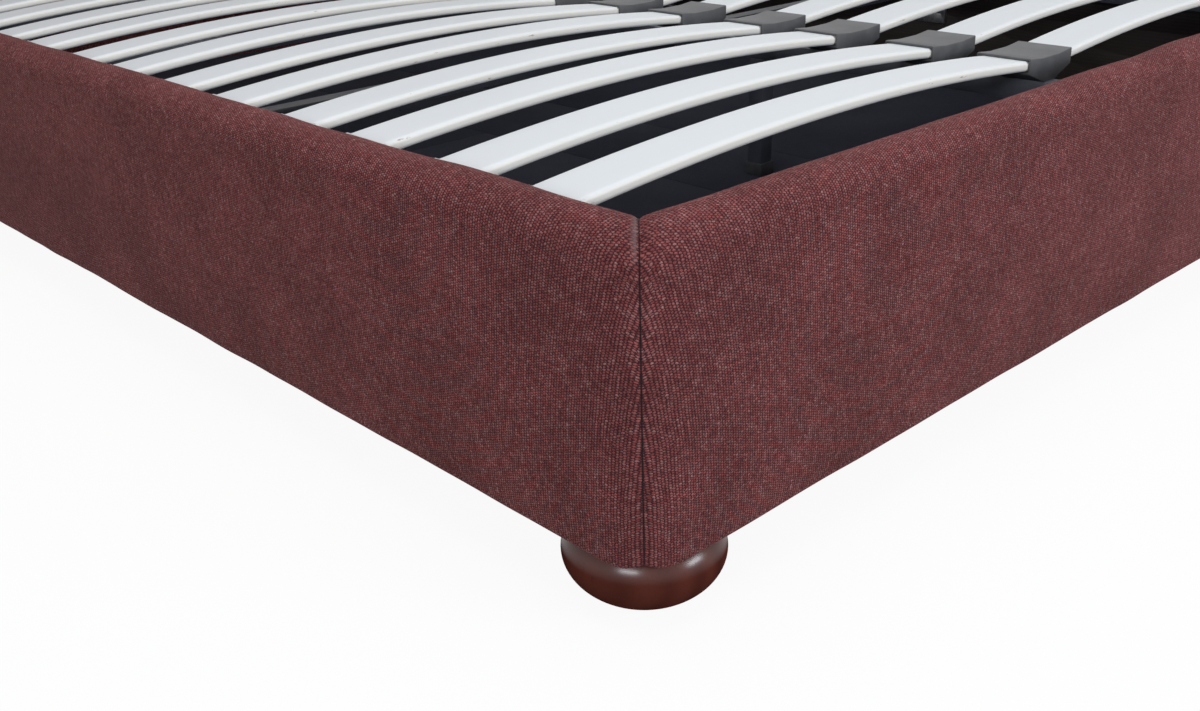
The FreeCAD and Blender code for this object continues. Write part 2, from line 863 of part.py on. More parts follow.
def tube_plugs():
    plugs = []
    inner = tube_size / 2 - tube_wall - plug_gap
    for y in (platform_foot + tube_size / 2, platform_head - tube_size / 2):
        for label, side in sides:
            flange = box((side * platform_half, side * (platform_half + plug_flange)),
                         (y - tube_size / 2, y + tube_size / 2), (tube_bottom, tube_top))
            body = box((side * platform_half, side * (platform_half - plug_depth)), (y - inner, y + inner),
                       (tube_middle - inner, tube_middle + inner))
            plugs.append(fuse_all([flange, body]))
    return plugs


slat_middle = (slat_inner_end + slat_outer_end) / 2
slat_half_span = (slat_outer_end - slat_inner_end) / 2
slat_bend_radius = (slat_half_span ** 2 + slat_bow ** 2) / (2 * slat_bow)


def slat_height(x):
    """Height of a slat's top face at a distance from the bed's middle."""
    drop = slat_bend_radius - math.sqrt(slat_bend_radius ** 2 - (x - slat_middle) ** 2)
    return slat_apex - drop


def bent_bar(grow=0.0):
    """A slat in the right-hand column, centred on Y = 0, or the room for it."""
    x0 = slat_inner_end - grow
    x1 = slat_outer_end + grow
    half = slat_width / 2 + grow
    low = slat_thickness + grow

    def point(x, rise):
        return Vector(x, -half, slat_height(x) + rise)

    outline = Part.Wire([arc(point(x0, grow), point(slat_middle, grow), point(x1, grow)),
                         line(point(x1, grow), point(x1, -low)),
                         arc(point(x1, -low), point(slat_middle, -low), point(x0, -low)),
                         line(point(x0, -low), point(x0, grow))])
    return Part.Face(outline).extrude(Vector(0, 2 * half, 0))


def slat():
    bar = bent_bar()
    long_edges = [edge for edge in bar.Edges if edge.Length > slat_half_span]
    return bar.makeFillet(slat_edge_radius, long_edges)


def end_cap():
    """A shoe under a slat's outer end, with low walls at its edges and a short lip over its end."""
    rise = holder_gap + end_cap_wall
    outer = slat_outer_end + rise
    inner = outer - end_cap_length
    lip_start = slat_outer_end - end_cap_lip
    seat_inner = platform_half - tube_size + holder_wall
    half = slat_width / 2 + rise
    block = prism([Vector(seat_inner, -half, tube_top),
                   Vector(platform_half, -half, tube_top),
                   Vector(outer, -half, tube_top + rise),
                   Vector(outer, -half, slat_height(slat_outer_end) + rise),
                   Vector(lip_start, -half, slat_height(lip_start) + rise),
                   Vector(lip_start, -half, slat_height(lip_start) - slat_thickness / 2),
                   Vector(inner, -half, slat_height(inner) - slat_thickness / 2),
                   Vector(inner, -half, slat_height(inner) - slat_thickness - rise)],
                  Vector(0, 2 * half, 0))
    return block.cut(bent_bar(holder_gap))


def centre_holder():
    half = slat_width / 2 + holder_gap + holder_wall
    rise = holder_gap + holder_wall
    reach = centre_holder_half
    foot = tube_size / 2
    right = [(foot, tube_top), (reach, slat_height(reach) - slat_thickness - rise),
             (reach, slat_height(reach) + rise), (slat_inner_end, slat_height(slat_inner_end) + rise)]
    left = [(-x, z) for x, z in reversed(right)]
    block = prism([Vector(x, -half, z) for x, z in right + left], Vector(0, 2 * half, 0))
    room = bent_bar(holder_gap)
    return cut_all(block, [room, mirror_x(room)])


def slat_places():
    first = foot_face + slat_first_from_foot
    return [first + slat_pitch * (row + slat_row_shift_shares[row % len(slat_row_shift_shares)])
            for row in range(slat_rows)]


def along_rows(shape):
    copies = []
    for y in slat_places():
        copy = shape.copy()
        copy.translate(Vector(0, y, 0))
        copies.append(copy)
    return copies


leg_y = foot_face + leg_from_foot


def centre_leg():
    half = tube_size / 2
    low = floor_top + leg_cap_height
    return hollow_tube((-half, half), (leg_y - half, leg_y + half), (low, tube_bottom), 2)


def centre_leg_cap():
    half = leg_cap_width / 2
    socket = tube_size / 2 + plug_gap
    low = floor_top + seat_gap
    high = floor_top + leg_cap_height
    block = box((-half, half), (leg_y - half, leg_y + half), (low, high + leg_cap_socket))
    room = box((-socket, socket), (leg_y - socket, leg_y + socket), (high, high + leg_cap_height))
    return block.cut(room)


def pull_strap():
    """A loop of webbing that goes round the foot tube and hangs inside the storage space."""
    low = tube_bottom - strap_drop
    x_pair = (strap_across - strap_width / 2, strap_across + strap_width / 2)
    middle = platform_foot + tube_size / 2

    def loop(grow):
        half = tube_size / 2 + soft_gap + grow
        upper = box(x_pair, (middle - half, middle + half), (low, tube_top + soft_gap + grow))
        lower = rod_along_x(x_pair, middle, low, half)
        return upper.fuse(lower).removeSplitter()

    return loop(strap_thickness).cut(loop(0))


# Headboard bolts

def headboard_bolt_places():
    middle = (board_inner + board_outer) / 2
    return [(side * middle, z) for label, side in sides for z in headboard_bolt_heights]


def headboard_bolt(x, z, grow=0.0):
    end = head_front - headboard_bolt_into_rail
    shank = rod_along_y(x, (end, panel_back), z, bolt_radius + grow)
    if grow:
        return shank
    head = rod_along_y(x, (panel_back, head_back), z, bolt_head_radius)
    return shank.fuse(head).removeSplitter()


def barrel_nut(x, z, grow=0.0):
    half = board_thickness / 2 - barrel_nut_inset
    y = head_front - barrel_nut_from_end
    nut = rod_along_x((x - half - grow, x + half + grow), y, z, barrel_nut_radius + grow)
    if grow:
        return nut
    return nut.cut(headboard_bolt(x, z, bolt_hole_gap))


# Assembly

os.makedirs("parts", exist_ok=True)

bolt_places = corner_bolt_places() + rest_bolt_places() + mechanism_bolt_places()
bolt_room = [board_bolt(point, into, grip + overrun, bolt_hole_gap) for point, into, grip in bolt_places]
headboard_room = [headboard_bolt(x, z, bolt_hole_gap) for x, z in headboard_bolt_places()]
nut_room = [barrel_nut(x, z, bolt_hole_gap) for x, z in headboard_bolt_places()]

save("foot_rail_board", [cut_all(foot_board(), bolt_room)])
save("foot_rail_cover", [rail_cover("foot")])
for side_name, sign in sides:
    save(side_name + "_rail_board", [cut_all(side_board(sign), bolt_room + headboard_room + nut_room)])
    save(side_name + "_rail_cover", [rail_cover(side_name)])

save("headboard_panel", [cut_all(headboard_panel(), headboard_room)])
save("headboard_cover", [cut_all(headboard_cover(), headboard_pocket() + headboard_room)])
save("headboard_bolts", [headboard_bolt(x, z) for x, z in headboard_bolt_places()])
save("barrel_nuts", [barrel_nut(x, z) for x, z in headboard_bolt_places()])

hanger_room = [hanger_bolt(x, y, bolt_hole_gap) for label, x, y in foot_places()]
for label, x, y in foot_places():
    save("bun_foot_" + label, [bun_foot(x, y)])
save("foot_glides", [rod_upright(x, y, (0, glide_thickness), glide_radius)
                     for label, x, y in foot_places()])
save("hanger_bolts", [hanger_bolt(x, y) for label, x, y in foot_places()])
save("corner_blocks", [cut_all(block, hanger_room) for block in corner_blocks()])

for piece_name, piece in storage_floor().items():
    save(piece_name, [piece])
save("side_floor_cleats", side_cleats())
save("end_floor_cleats", end_cleats())
save("floor_beams", floor_beams())
save("floor_cross_battens", cross_battens())
save("floor_support_legs", support_legs())

save("corner_brackets", [cut_all(bracket, bolt_room) for bracket in corner_brackets()])
save("rest_brackets", [cut_all(bracket, bolt_room) for bracket in rest_brackets()])
save("rest_pads", rest_pads())
save("bracket_bolts", [board_bolt(point, into, grip) for point, into, grip in bolt_places])
save("strut_brackets", [cut_all(strut_bracket(sign), bolt_room) for side_name, sign in sides])
save("strut_studs", [strut_stud(sign) for side_name, sign in sides])
save("pivot_studs", [pivot_stud(sign) for side_name, sign in sides])
save("pivot_nuts", [pivot_nut(sign) for side_name, sign in sides])

for side_name, sign in sides:
    arm_room = [arm_bolt(place, bolt_hole_gap) for place in arm_bolt_places(sign)]
    save(side_name + "_fixed_plate", [cut_all(fixed_plate(sign), bolt_room)])
    save(side_name + "_lift_arm", [cut_all(lift_arm(sign), arm_room)])
    save(side_name + "_strut_cylinder", [strut_cylinder(sign)])
    save(side_name + "_strut_rod", [strut_rod(sign)])
    save(side_name + "_rod_end", [rod_end(sign), ball_stud(sign)])
save("arm_bolts", [arm_bolt(place) for side_name, sign in sides for place in arm_bolt_places(sign)])

for tube_name, pieces in platform_tubes().items():
    save(tube_name, pieces)
save("tube_end_plugs", tube_plugs())

right_slats = along_rows(slat())
save("slats_right", right_slats)
save("slats_left", [mirror_x(piece) for piece in right_slats])
right_caps = along_rows(end_cap())
save("slat_end_caps", right_caps + [mirror_x(piece) for piece in right_caps])
save("centre_slat_holders", along_rows(centre_holder()))
save("centre_leg", [centre_leg()])
save("centre_leg_cap", [centre_leg_cap()])
save("pull_strap", [pull_strap()])
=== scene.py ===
import bpy
import bmesh
import json
import math
from mathutils import Matrix, Vector, noise


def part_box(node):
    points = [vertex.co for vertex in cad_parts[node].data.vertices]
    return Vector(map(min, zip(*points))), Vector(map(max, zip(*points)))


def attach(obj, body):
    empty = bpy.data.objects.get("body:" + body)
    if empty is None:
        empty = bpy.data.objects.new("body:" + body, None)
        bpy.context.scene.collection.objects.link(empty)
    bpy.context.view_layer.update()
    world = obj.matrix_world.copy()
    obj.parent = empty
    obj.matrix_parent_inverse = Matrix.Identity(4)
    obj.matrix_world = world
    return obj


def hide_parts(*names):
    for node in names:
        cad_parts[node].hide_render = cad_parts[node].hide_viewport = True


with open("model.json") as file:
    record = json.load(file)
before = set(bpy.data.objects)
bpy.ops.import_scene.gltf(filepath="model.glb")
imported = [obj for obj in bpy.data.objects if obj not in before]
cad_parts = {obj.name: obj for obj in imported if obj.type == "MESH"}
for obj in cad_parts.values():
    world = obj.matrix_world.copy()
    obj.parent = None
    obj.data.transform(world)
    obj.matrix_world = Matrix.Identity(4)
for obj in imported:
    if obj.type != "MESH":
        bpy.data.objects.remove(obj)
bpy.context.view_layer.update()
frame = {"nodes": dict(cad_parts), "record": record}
record = frame["record"]
bodyOf = {node: body for body, nodes in record["behaviour"]["bodies"].items() for node in nodes}
slotOf = {part["node"]: part["material_slot"] for part in record["subparts"]}
scene = bpy.context.scene
print("frame loaded,", len(bodyOf), "nodes")


# Shader sums: one wrapped socket, so that a line of arithmetic makes the Math nodes it needs

class Wire:
    def __init__(self, tree, socket=None):
        self.tree = tree
        self.socket = socket

    def add(self, kind, settings=None, feeds=None, out=0):
        made = self.tree.nodes.new("ShaderNode" + kind)
        for key, value in (settings or {}).items():
            setattr(made, key, value)
        for key, value in (feeds or {}).items():
            if isinstance(value, Wire):
                self.tree.links.new(value.socket, made.inputs[key])
            else:
                made.inputs[key].default_value = value
        return Wire(self.tree, made.outputs[out])

    def sums(self, operation, *values):
        return self.add("Math", {"operation": operation}, dict(enumerate(values)))

    def __add__(self, other):
        return self.sums("ADD", self, other)

    def __radd__(self, other):
        return self.sums("ADD", other, self)

    def __sub__(self, other):
        return self.sums("SUBTRACT", self, other)

    def __rsub__(self, other):
        return self.sums("SUBTRACT", other, self)

    def __mul__(self, other):
        return self.sums("MULTIPLY", self, other)

    def __rmul__(self, other):
        return self.sums("MULTIPLY", other, self)

    def __truediv__(self, other):
        return self.sums("DIVIDE", self, other)

    def __gt__(self, other):
        return self.sums("GREATER_THAN", self, other)

    def call(self, operation):
        return self.sums(operation, self)


def rgb(red, green, blue):
    return (red, green, blue, 1)


def newFinish(name, constants):
    finish = bpy.data.materials.new(name)
    finish.use_nodes = True
    tree = finish.node_tree
    shader = tree.nodes["Principled BSDF"]
    for key, value in constants.items():
        shader.inputs[key].default_value = value
    return finish, Wire(tree), shader


def feed(value, shader, name):
    value.tree.links.new(value.socket, shader.inputs[name])


def mixColour(factor, first, second):
    return factor.add("Mix", {"data_type": "RGBA"}, {0: factor, 6: first, 7: second}, 2)


def shaded(colour, shade):
    return colour.add("Mix", {"data_type": "RGBA", "blend_type": "MULTIPLY"},
                      {0: 1.0, 6: colour, 7: grey(shade)}, 2)


def grey(value):
    return value.add("CombineColor", None, {0: value, 1: value, 2: value})


def span(value, low, high):
    return value.add("MapRange", {"interpolation_type": "SMOOTHSTEP"}, {0: value, 1: low, 2: high})


def ownPlace(paint):
    return paint.add("TexCoord", out=3)


def ownNormal(paint):
    return paint.add("TexCoord", out=1)


def parts(vector):
    split = vector.tree.nodes.new("ShaderNodeSeparateXYZ")
    vector.tree.links.new(vector.socket, split.inputs[0])
    return [Wire(vector.tree, output) for output in split.outputs]


def joinParts(x, y, z):
    return x.add("CombineXYZ", None, {0: x, 1: y, 2: z})


def stretched(place, scale):
    return place.add("VectorMath", {"operation": "MULTIPLY"}, {0: place, 1: scale})


def cloudy(place, scale, detail=2.0, roughness=0.5):
    return place.add("TexNoise", None, {"Vector": place, "Scale": scale, "Detail": detail,
                                        "Roughness": roughness})


def streaky(place, scale, detail=3.0, roughness=0.6):
    return cloudy(stretched(place, scale), 1.0, detail, roughness)


def seenMask(tree):
    rays = tree.nodes.new("ShaderNodeLightPath")
    camera, glossy, clear = [Wire(tree, rays.outputs["Is " + kind + " Ray"])
                             for kind in ("Camera", "Glossy", "Transmission")]
    return camera.sums("MINIMUM", camera + glossy + clear, 1.0)


def bump(height, depth, shader, strength=1.0):
    made = height.add("Bump", None, {"Strength": strength, "Distance": depth, "Height": height})
    feed(made, shader, "Normal")


# The burgundy cloth of the rails and the headboard: heathered yarn in a coarse dotted weave

clothLook = {
    "columnPitch": 0.0031,
    "dotPitch": 0.0024,
    "waver": 0.42,
    "waverScales": (46.0, 33.0),
    "slub": 0.85,
    "slubScale": 390.0,
    "checkShare": 0.62,
    "waleShare": 0.38,
    "dotSpan": (-0.62, 0.46),
    "warpScale": (330.0, 52.0, 1.0),
    "weftScale": (46.0, 380.0, 1.0),
    "fleckFrom": 0.985,
    "fleckShare": 0.25,
    "napScale": 9.0,
    "blotchScale": 58.0,
    "wornShare": 0.12,
    # how much of the painted greyish sheen near the seam's top shows
    "paintedSeamLightShare": 0.85,
    "gap": rgb(0.034, 0.0105, 0.0145),
    "deep": rgb(0.215, 0.0490, 0.0475),
    "warm": rgb(0.415, 0.1150, 0.1060),
    "pale": rgb(0.450, 0.2200, 0.2100),
    "fleck": rgb(0.52, 0.33, 0.32),
    # painted light at the mitre seam: a painted greyish sheen near the seam's top, and a painted shadow
    # in the seam's fold
    "paintedSeamLight": rgb(0.170, 0.112, 0.112),
    "paintedSeamShadow": rgb(0.018, 0.011, 0.013),
    "shadeTint": rgb(0.095, 0.031, 0.038),
    "bumpDepth": 0.0009,
}


def coverCloth():
    look = clothLook
    finish, paint, shader = newFinish("burgundy_basket_cloth", {
        "Roughness": 0.93, "Specular IOR Level": 0.16, "Sheen Weight": 0.06, "Sheen Roughness": 0.40,
        "Sheen Tint": rgb(0.90, 0.50, 0.50)})
    along, girth, paintedSeamLight = parts(paint.add("Attribute", {"attribute_name": "clothPlace"}, out=1))
    place = joinParts(along, girth, 0.0)
    slub = parts(place.add("TexNoise", None, {"Vector": place, "Scale": look["slubScale"],
                                              "Detail": 1.0}, 1))
    x = along / look["columnPitch"] + (cloudy(place, look["waverScales"][0], 1.0) - 0.5) * look["waver"]
    y = girth / look["dotPitch"] + (cloudy(place, look["waverScales"][1], 1.0) - 0.5) * look["waver"]
    x = x + (slub[0] - 0.5) * look["slub"]
    y = y + (slub[1] - 0.5) * look["slub"]
    column = x.call("ROUND")
    pick = (y + column * 0.5).call("ROUND")
    checks = (x * math.pi).call("COSINE") * (y * (2 * math.pi)).call("COSINE")
    wales = (x * (2 * math.pi)).call("COSINE")
    lattice = checks * look["checkShare"] + wales * look["waleShare"]
    dots = span(lattice, *look["dotSpan"])
    cell = joinParts(column, pick, 0.0)
    perDot = cell.add("TexWhiteNoise", {"noise_dimensions": "2D"}, {"Vector": cell})
    hue = cell.add("TexWhiteNoise", {"noise_dimensions": "2D"},
                   {"Vector": stretched(cell, (3.0, 7.0, 1.0))})
    warp = streaky(place, look["warpScale"], 2.0)
    weft = streaky(place, look["weftScale"], 2.0)
    tone = perDot * 0.50 + (warp - 0.5) * 1.10 + (weft - 0.5) * 0.95 + 0.10
    thread = mixColour(span(hue * 0.7 + warp * 0.6, 0.35, 1.15), look["warm"], look["pale"])
    thread = mixColour(span(tone, -0.15, 0.95), look["deep"], thread)
    weave = mixColour(dots, look["gap"], thread)
    fleck = (perDot > look["fleckFrom"]) * dots * look["fleckShare"]
    weave = mixColour(fleck, weave, look["fleck"])
    nap = cloudy(place, look["napScale"], 3.0, 0.55)
    blotch = cloudy(place, look["blotchScale"], 3.0, 0.62)
    shade = 0.85 + (span(nap, 0.32, 0.68) - 0.5) * 0.22 + (blotch - 0.5) * 0.26 + (warp - 0.5) * 0.30
    worn = span(blotch, 0.56, 0.78) * look["wornShare"]
    weave = mixColour(worn, shaded(weave, shade), look["shadeTint"])
    # painted greyish sheen near the seam's top, then painted shadow in the seam's fold, both from the
    # third channel of clothPlace
    weave = mixColour(span(paintedSeamLight, 0.0, 0.8) * look["paintedSeamLightShare"], weave, look["paintedSeamLight"])
    feed(mixColour(span(paintedSeamLight * -1.0, 0.25, 0.95), weave, look["paintedSeamShadow"]), shader, "Base Color")
    feed(0.96 - dots * 0.10, shader, "Roughness")
    bump(lattice * 0.5 + (warp + weft) * 0.30, look["bumpDepth"], shader, 0.9)
    return finish


def plainFelt(name, base, light, depth):
    finish, paint, shader = newFinish(name, {"Roughness": 0.95, "Specular IOR Level": 0.10,
                                             "Sheen Weight": 0.03, "Sheen Roughness": 0.6})
    place = ownPlace(paint)
    fibre = streaky(place, (900.0, 260.0, 900.0), 3.0, 0.65)
    cross = streaky(place, (240.0, 950.0, 300.0), 3.0, 0.65)
    patch = cloudy(place, 7.0, 3.0, 0.6)
    factor = span(fibre * 0.5 + cross * 0.3 + patch * 0.35, 0.42, 0.78)
    feed(mixColour(factor, base, light), shader, "Base Color")
    bump(fibre * 0.6 + cross * 0.5, depth, shader, 0.6)
    return finish


# Woods and boards

def grainedWood(name, facts, constants):
    finish, paint, shader = newFinish(name, constants)
    place = ownPlace(paint)
    wobble = (cloudy(place, 3.0, 2.0) - 0.5) * facts["wobble"]
    x, y, z = parts(stretched(place, facts["stretch"]))
    ringed = joinParts(x + wobble, y + wobble, z + wobble)
    rings = ringed.add("TexWave", {"wave_type": "BANDS", "bands_direction": facts["across"]},
                       {"Vector": ringed, "Scale": 1.0, "Distortion": 3.2, "Detail": 3.0,
                        "Detail Scale": 1.4}, 1)
    pores = streaky(place, facts["pores"], 3.0, 0.7)
    colour = mixColour(rings, facts["early"], facts["late"])
    colour = mixColour(span(pores, 0.52, 0.74) * facts["poreDepth"], colour, facts["poreColour"])
    patch = cloudy(place, facts["patchScale"], 2.0)
    colour = mixColour(span(patch, 0.35, 0.7) * 0.25, colour, facts["patchColour"])
    feed(colour, shader, "Base Color")
    feed(facts["rough"] + (pores - 0.5) * 0.12, shader, "Roughness")
    if "paintedShoulderReflection" in facts:
        # coat weight set by which way the surface faces: painted reflection, full on the upward shoulder,
        # weaker on the top, none on the sides and underside
        up = parts(ownNormal(paint))[2]
        feed(span(up, 0.10, 0.46) * (1.0 - span(up, 0.48, 0.78) * 0.55), shader, "Coat Weight")
    bump(pores * 0.6 + rings * 0.3, facts["bumpDepth"], shader, 0.5)
    return finish


def planedPine():
    return grainedWood("planed_softwood", {
        "wobble": 0.5, "stretch": (70.0, 2.2, 70.0), "across": "X", "pores": (900.0, 30.0, 900.0),
        "early": rgb(0.62, 0.43, 0.24), "late": rgb(0.50, 0.30, 0.14),
        "poreColour": rgb(0.33, 0.19, 0.09), "poreDepth": 0.5, "patchScale": 4.0,
        "patchColour": rgb(0.66, 0.50, 0.30), "rough": 0.62, "bumpDepth": 0.0002},
        {"Specular IOR Level": 0.4})


def boardFoil():
    return grainedWood("dark_board_foil", {
        "wobble": 0.35, "stretch": (40.0, 2.0, 55.0), "across": "Z", "pores": (500.0, 16.0, 700.0),
        "early": rgb(0.030, 0.022, 0.019), "late": rgb(0.018, 0.013, 0.012),
        "poreColour": rgb(0.009, 0.007, 0.007), "poreDepth": 0.7, "patchScale": 5.0,
        "patchColour": rgb(0.036, 0.027, 0.023), "rough": 0.5, "bumpDepth": 0.00012},
        {"Specular IOR Level": 0.45})


def turnedWood():
    return grainedWood("dark_stained_wood", {
        "wobble": 0.30, "stretch": (11.0, 11.0, 1.6), "across": "X", "pores": (300.0, 300.0, 40.0),
        "early": rgb(0.098, 0.0255, 0.0180), "late": rgb(0.070, 0.0180, 0.0130),
        "poreColour": rgb(0.042, 0.013, 0.010), "poreDepth": 0.40, "patchScale": 14.0,
        "patchColour": rgb(0.120, 0.034, 0.024), "rough": 0.42, "bumpDepth": 0.00005, "paintedShoulderReflection": True},
        {"Specular IOR Level": 0.0, "Coat Roughness": 0.25, "Coat IOR": 1.43})


def slatCoat():
    finish, paint, shader = newFinish("white_slat_coat", {"Specular IOR Level": 0.4})
    place = ownPlace(paint)
    up = parts(ownNormal(paint))[2]
    # side faces take the edge's own cream tone, made lighter than the top's white as painted light on the
    # side band
    edge = 1.0 - span(up.call("ABSOLUTE"), 0.30, 0.985)
    white = rgb(0.735, 0.770, 0.800)
    creamWithPaintedLight = rgb(0.90, 0.880, 0.820)
    colour = mixColour(edge, white, creamWithPaintedLight)
    film = streaky(place, (6.0, 40.0, 40.0))
    colour = mixColour(span(film, 0.40, 0.72) * 0.30, colour, rgb(0.77, 0.78, 0.79))
    scuff = streaky(place, (34.0, 240.0, 240.0), 4.0, 0.7)
    where = cloudy(place, 4.3, 1.0)
    mark = span(scuff, 0.63, 0.70) * span(where, 0.50, 0.57) * span(edge, 0.06, 0.35)
    colour = mixColour(mark * 0.85, colour, rgb(0.34, 0.19, 0.12))
    feed(colour, shader, "Base Color")
    feed(0.40 + film * 0.16, shader, "Roughness")
    bump(film * 0.8 + scuff * 0.3, 0.00018, shader, 0.5)
    return finish


# Metals, plastics and rubber

def coatedSteel(name, base, light, rough):
    finish, paint, shader = newFinish(name, {"Specular IOR Level": 0.5, "Coat Weight": 0.08,
                                             "Coat Roughness": 0.3})
    place = ownPlace(paint)
    peel = cloudy(place, 620.0, 2.0, 0.5)
    dust = cloudy(place, 24.0, 4.0, 0.65)
    scrape = streaky(place, (160.0, 18.0, 160.0), 4.0, 0.75)
    colour = mixColour(span(dust, 0.45, 0.75) * 0.6, base, light)
    colour = mixColour(span(scrape, 0.70, 0.80) * 0.35, colour, light)
    feed(colour, shader, "Base Color")
    feed(rough + (dust - 0.5) * 0.22, shader, "Roughness")
    bump(peel, 0.00012, shader, 0.5)
    return finish


def bareMetal(name, base, light, rough):
    finish, paint, shader = newFinish(name, {"Metallic": 1.0})
    place = ownPlace(paint)
    brushed = streaky(place, (80.0, 900.0, 900.0), 2.0)
    spangle = place.add("TexVoronoi", {"feature": "F1"}, {"Vector": place, "Scale": 210.0})
    mottled = span(spangle * 0.5 + brushed * 0.5, 0.25, 0.75)
    feed(mixColour(mottled, base, light), shader, "Base Color")
    feed(rough + (brushed - 0.5) * 0.14 + spangle * 0.05, shader, "Roughness")
    bump(brushed, 0.00005, shader, 0.4)
    return finish


def moulded(name, base, light, rough):
    finish, paint, shader = newFinish(name, {"Specular IOR Level": 0.45})
    place = ownPlace(paint)
    grain = cloudy(place, 1500.0, 2.0, 0.6)
    smudge = cloudy(place, 38.0, 3.0, 0.6)
    feed(mixColour(span(smudge, 0.4, 0.75), base, light), shader, "Base Color")
    feed(rough + (smudge - 0.5) * 0.18, shader, "Roughness")
    bump(grain, 0.00006, shader, 0.6)
    return finish


webbingLook = {"ribPitch": 0.0016, "pickPitch": 0.0021}


def webbingCloth():
    rib = webbingLook["ribPitch"]
    finish, paint, shader = newFinish("black_webbing", {"Roughness": 0.85, "Specular IOR Level": 0.3,
                                                        "Sheen Weight": 0.15})
    place = paint.add("Attribute", {"attribute_name": "clothPlace"}, out=1)
    across, along = parts(place)[:2]
    ribs = (across * (2 * math.pi / rib)).call("SINE")
    shift = (across / rib).call("ROUND") * math.pi
    picks = (along * (2 * math.pi / webbingLook["pickPitch"]) + shift).call("SINE")
    height = ribs * 0.5 + picks * 0.5
    wear = cloudy(place, 55.0, 3.0, 0.6)
    factor = span(height * 0.5 + wear * 0.6, 0.05, 0.85)
    feed(mixColour(factor, rgb(0.008, 0.008, 0.010), rgb(0.045, 0.045, 0.050)), shader, "Base Color")
    bump(height, 0.0003, shader, 0.8)
    return finish


finishes = {
    "cover_fabric": coverCloth(),
    "board_laminate": boardFoil(),
    "softwood": planedPine(),
    "foot_wood": turnedWood(),
    "floor_lining": plainFelt("dark_floor_felt", rgb(0.0165, 0.0185, 0.0280),
                              rgb(0.0330, 0.0360, 0.0520), 0.0003),
    "slat_coat": slatCoat(),
    "frame_steel": coatedSteel("blue_black_tube_coat", rgb(0.065, 0.070, 0.088),
                               rgb(0.095, 0.100, 0.125), 0.42),
    "zinc_steel": bareMetal("zinc_plate", rgb(0.50, 0.51, 0.52), rgb(0.70, 0.70, 0.70), 0.34),
    "mechanism_steel": coatedSteel("black_mechanism_coat", rgb(0.011, 0.011, 0.012),
                                   rgb(0.03, 0.03, 0.032), 0.36),
    "rod_chrome": bareMetal("polished_rod", rgb(0.66, 0.66, 0.67), rgb(0.78, 0.78, 0.79), 0.10),
    "holder_plastic": moulded("grey_holder_plastic", rgb(0.075, 0.076, 0.080),
                              rgb(0.105, 0.106, 0.110), 0.55),
    "cap_plastic": moulded("dark_cap_plastic", rgb(0.045, 0.045, 0.050), rgb(0.065, 0.065, 0.070), 0.5),
    "white_plastic": moulded("white_shoe_plastic", rgb(0.72, 0.73, 0.73), rgb(0.66, 0.67, 0.67), 0.5),
    "black_plastic": moulded("black_moulding", rgb(0.010, 0.010, 0.011), rgb(0.022, 0.022, 0.024), 0.5),
    "rubber": moulded("black_pad_rubber", rgb(0.012, 0.012, 0.012), rgb(0.026, 0.026, 0.026), 0.8),
    "webbing": webbingCloth(),
}
backFelt = plainFelt("black_back_cloth", rgb(0.010, 0.010, 0.012), rgb(0.024, 0.024, 0.028), 0.0004)
print("finishes made:", len(finishes) + 1)


# Mesh helpers

def placed(name, data):
    made = bpy.data.objects.new(name, data)
    scene.collection.objects.link(made)
    return made


def newPiece(name, verts, faces, node, smooth, slotName=None, finish=None):
    mesh = bpy.data.meshes.new(name)
    mesh.from_pydata(verts, [], faces)
    piece = dressPiece(name, mesh, node, smooth, slotName, finish)
    outwardNormals(mesh)
    return piece


def dressPiece(name, mesh, node, smooth, slotName=None, finish=None):
    # a piece with a slot of its own is added beside the node, and any other takes the node's place
    mesh.update()
    mesh.materials.clear()
    mesh.materials.append(finish or finishes[slotName or slotOf[node]])
    mesh.shade_smooth()
    mesh.set_sharp_from_angle(angle=math.radians(smooth))
    piece = placed(name, mesh)
    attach(piece, bodyOf[node])
    if not slotName:
        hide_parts(node)
    return piece


def shapedPiece(name, shape, node, smooth, slotName=None):
    mesh = bpy.data.meshes.new(name)
    shape.to_mesh(mesh)
    shape.free()
    if "custom_normal" in mesh.attributes:
        mesh.attributes.remove(mesh.attributes["custom_normal"])
    dressPiece(name, mesh, node, smooth, slotName)


def outwardNormals(mesh):
    shape = bmesh.new()
    shape.from_mesh(mesh)
    bmesh.ops.recalc_face_normals(shape, faces=shape.faces)
    shape.to_mesh(mesh)
    shape.free()


def storePlaces(mesh, places):
    layer = mesh.attributes.new("clothPlace", "FLOAT_VECTOR", "POINT")
    flat = [value for place in places for value in place]
    layer.data.foreach_set("vector", flat)


def evenly(first, last, count):
    return [first + (last - first) * k / count for k in range(count + 1)]


def stretch(first, last, count):
    return [(first[0] + (last[0] - first[0]) * k / count, first[1] + (last[1] - first[1]) * k / count)
            for k in range(count)]


def turn(centre, radius, start, stop, count):
    angles = [math.radians(angle) for angle in evenly(start, stop, count)[:-1]]
    return [(centre[0] + radius * math.cos(angle), centre[1] + radius * math.sin(angle))
            for angle in angles]


def runAlong(line):
    runs = [0.0]
    for before, after in zip(line, line[1:]):
        runs.append(runs[-1] + math.hypot(after[0] - before[0], after[1] - before[1]))
    return runs


def circle(count):
    angles = [2 * math.pi * k / count for k in range(count)]
    return [(math.cos(angle), math.sin(angle)) for angle in angles]


def ringFaces(rings, count, loop=False):
    faces = []
    for r in range(rings if loop else rings - 1):
        lower = r * count
        upper = (r + 1) % rings * count
        for k in range(count):
            after = (k + 1) % count
            faces.append((lower + k, lower + after, upper + after, upper + k))
    if not loop:
        faces.append(tuple(reversed(range(count))))
        faces.append(tuple(range((rings - 1) * count, rings * count)))
    return faces


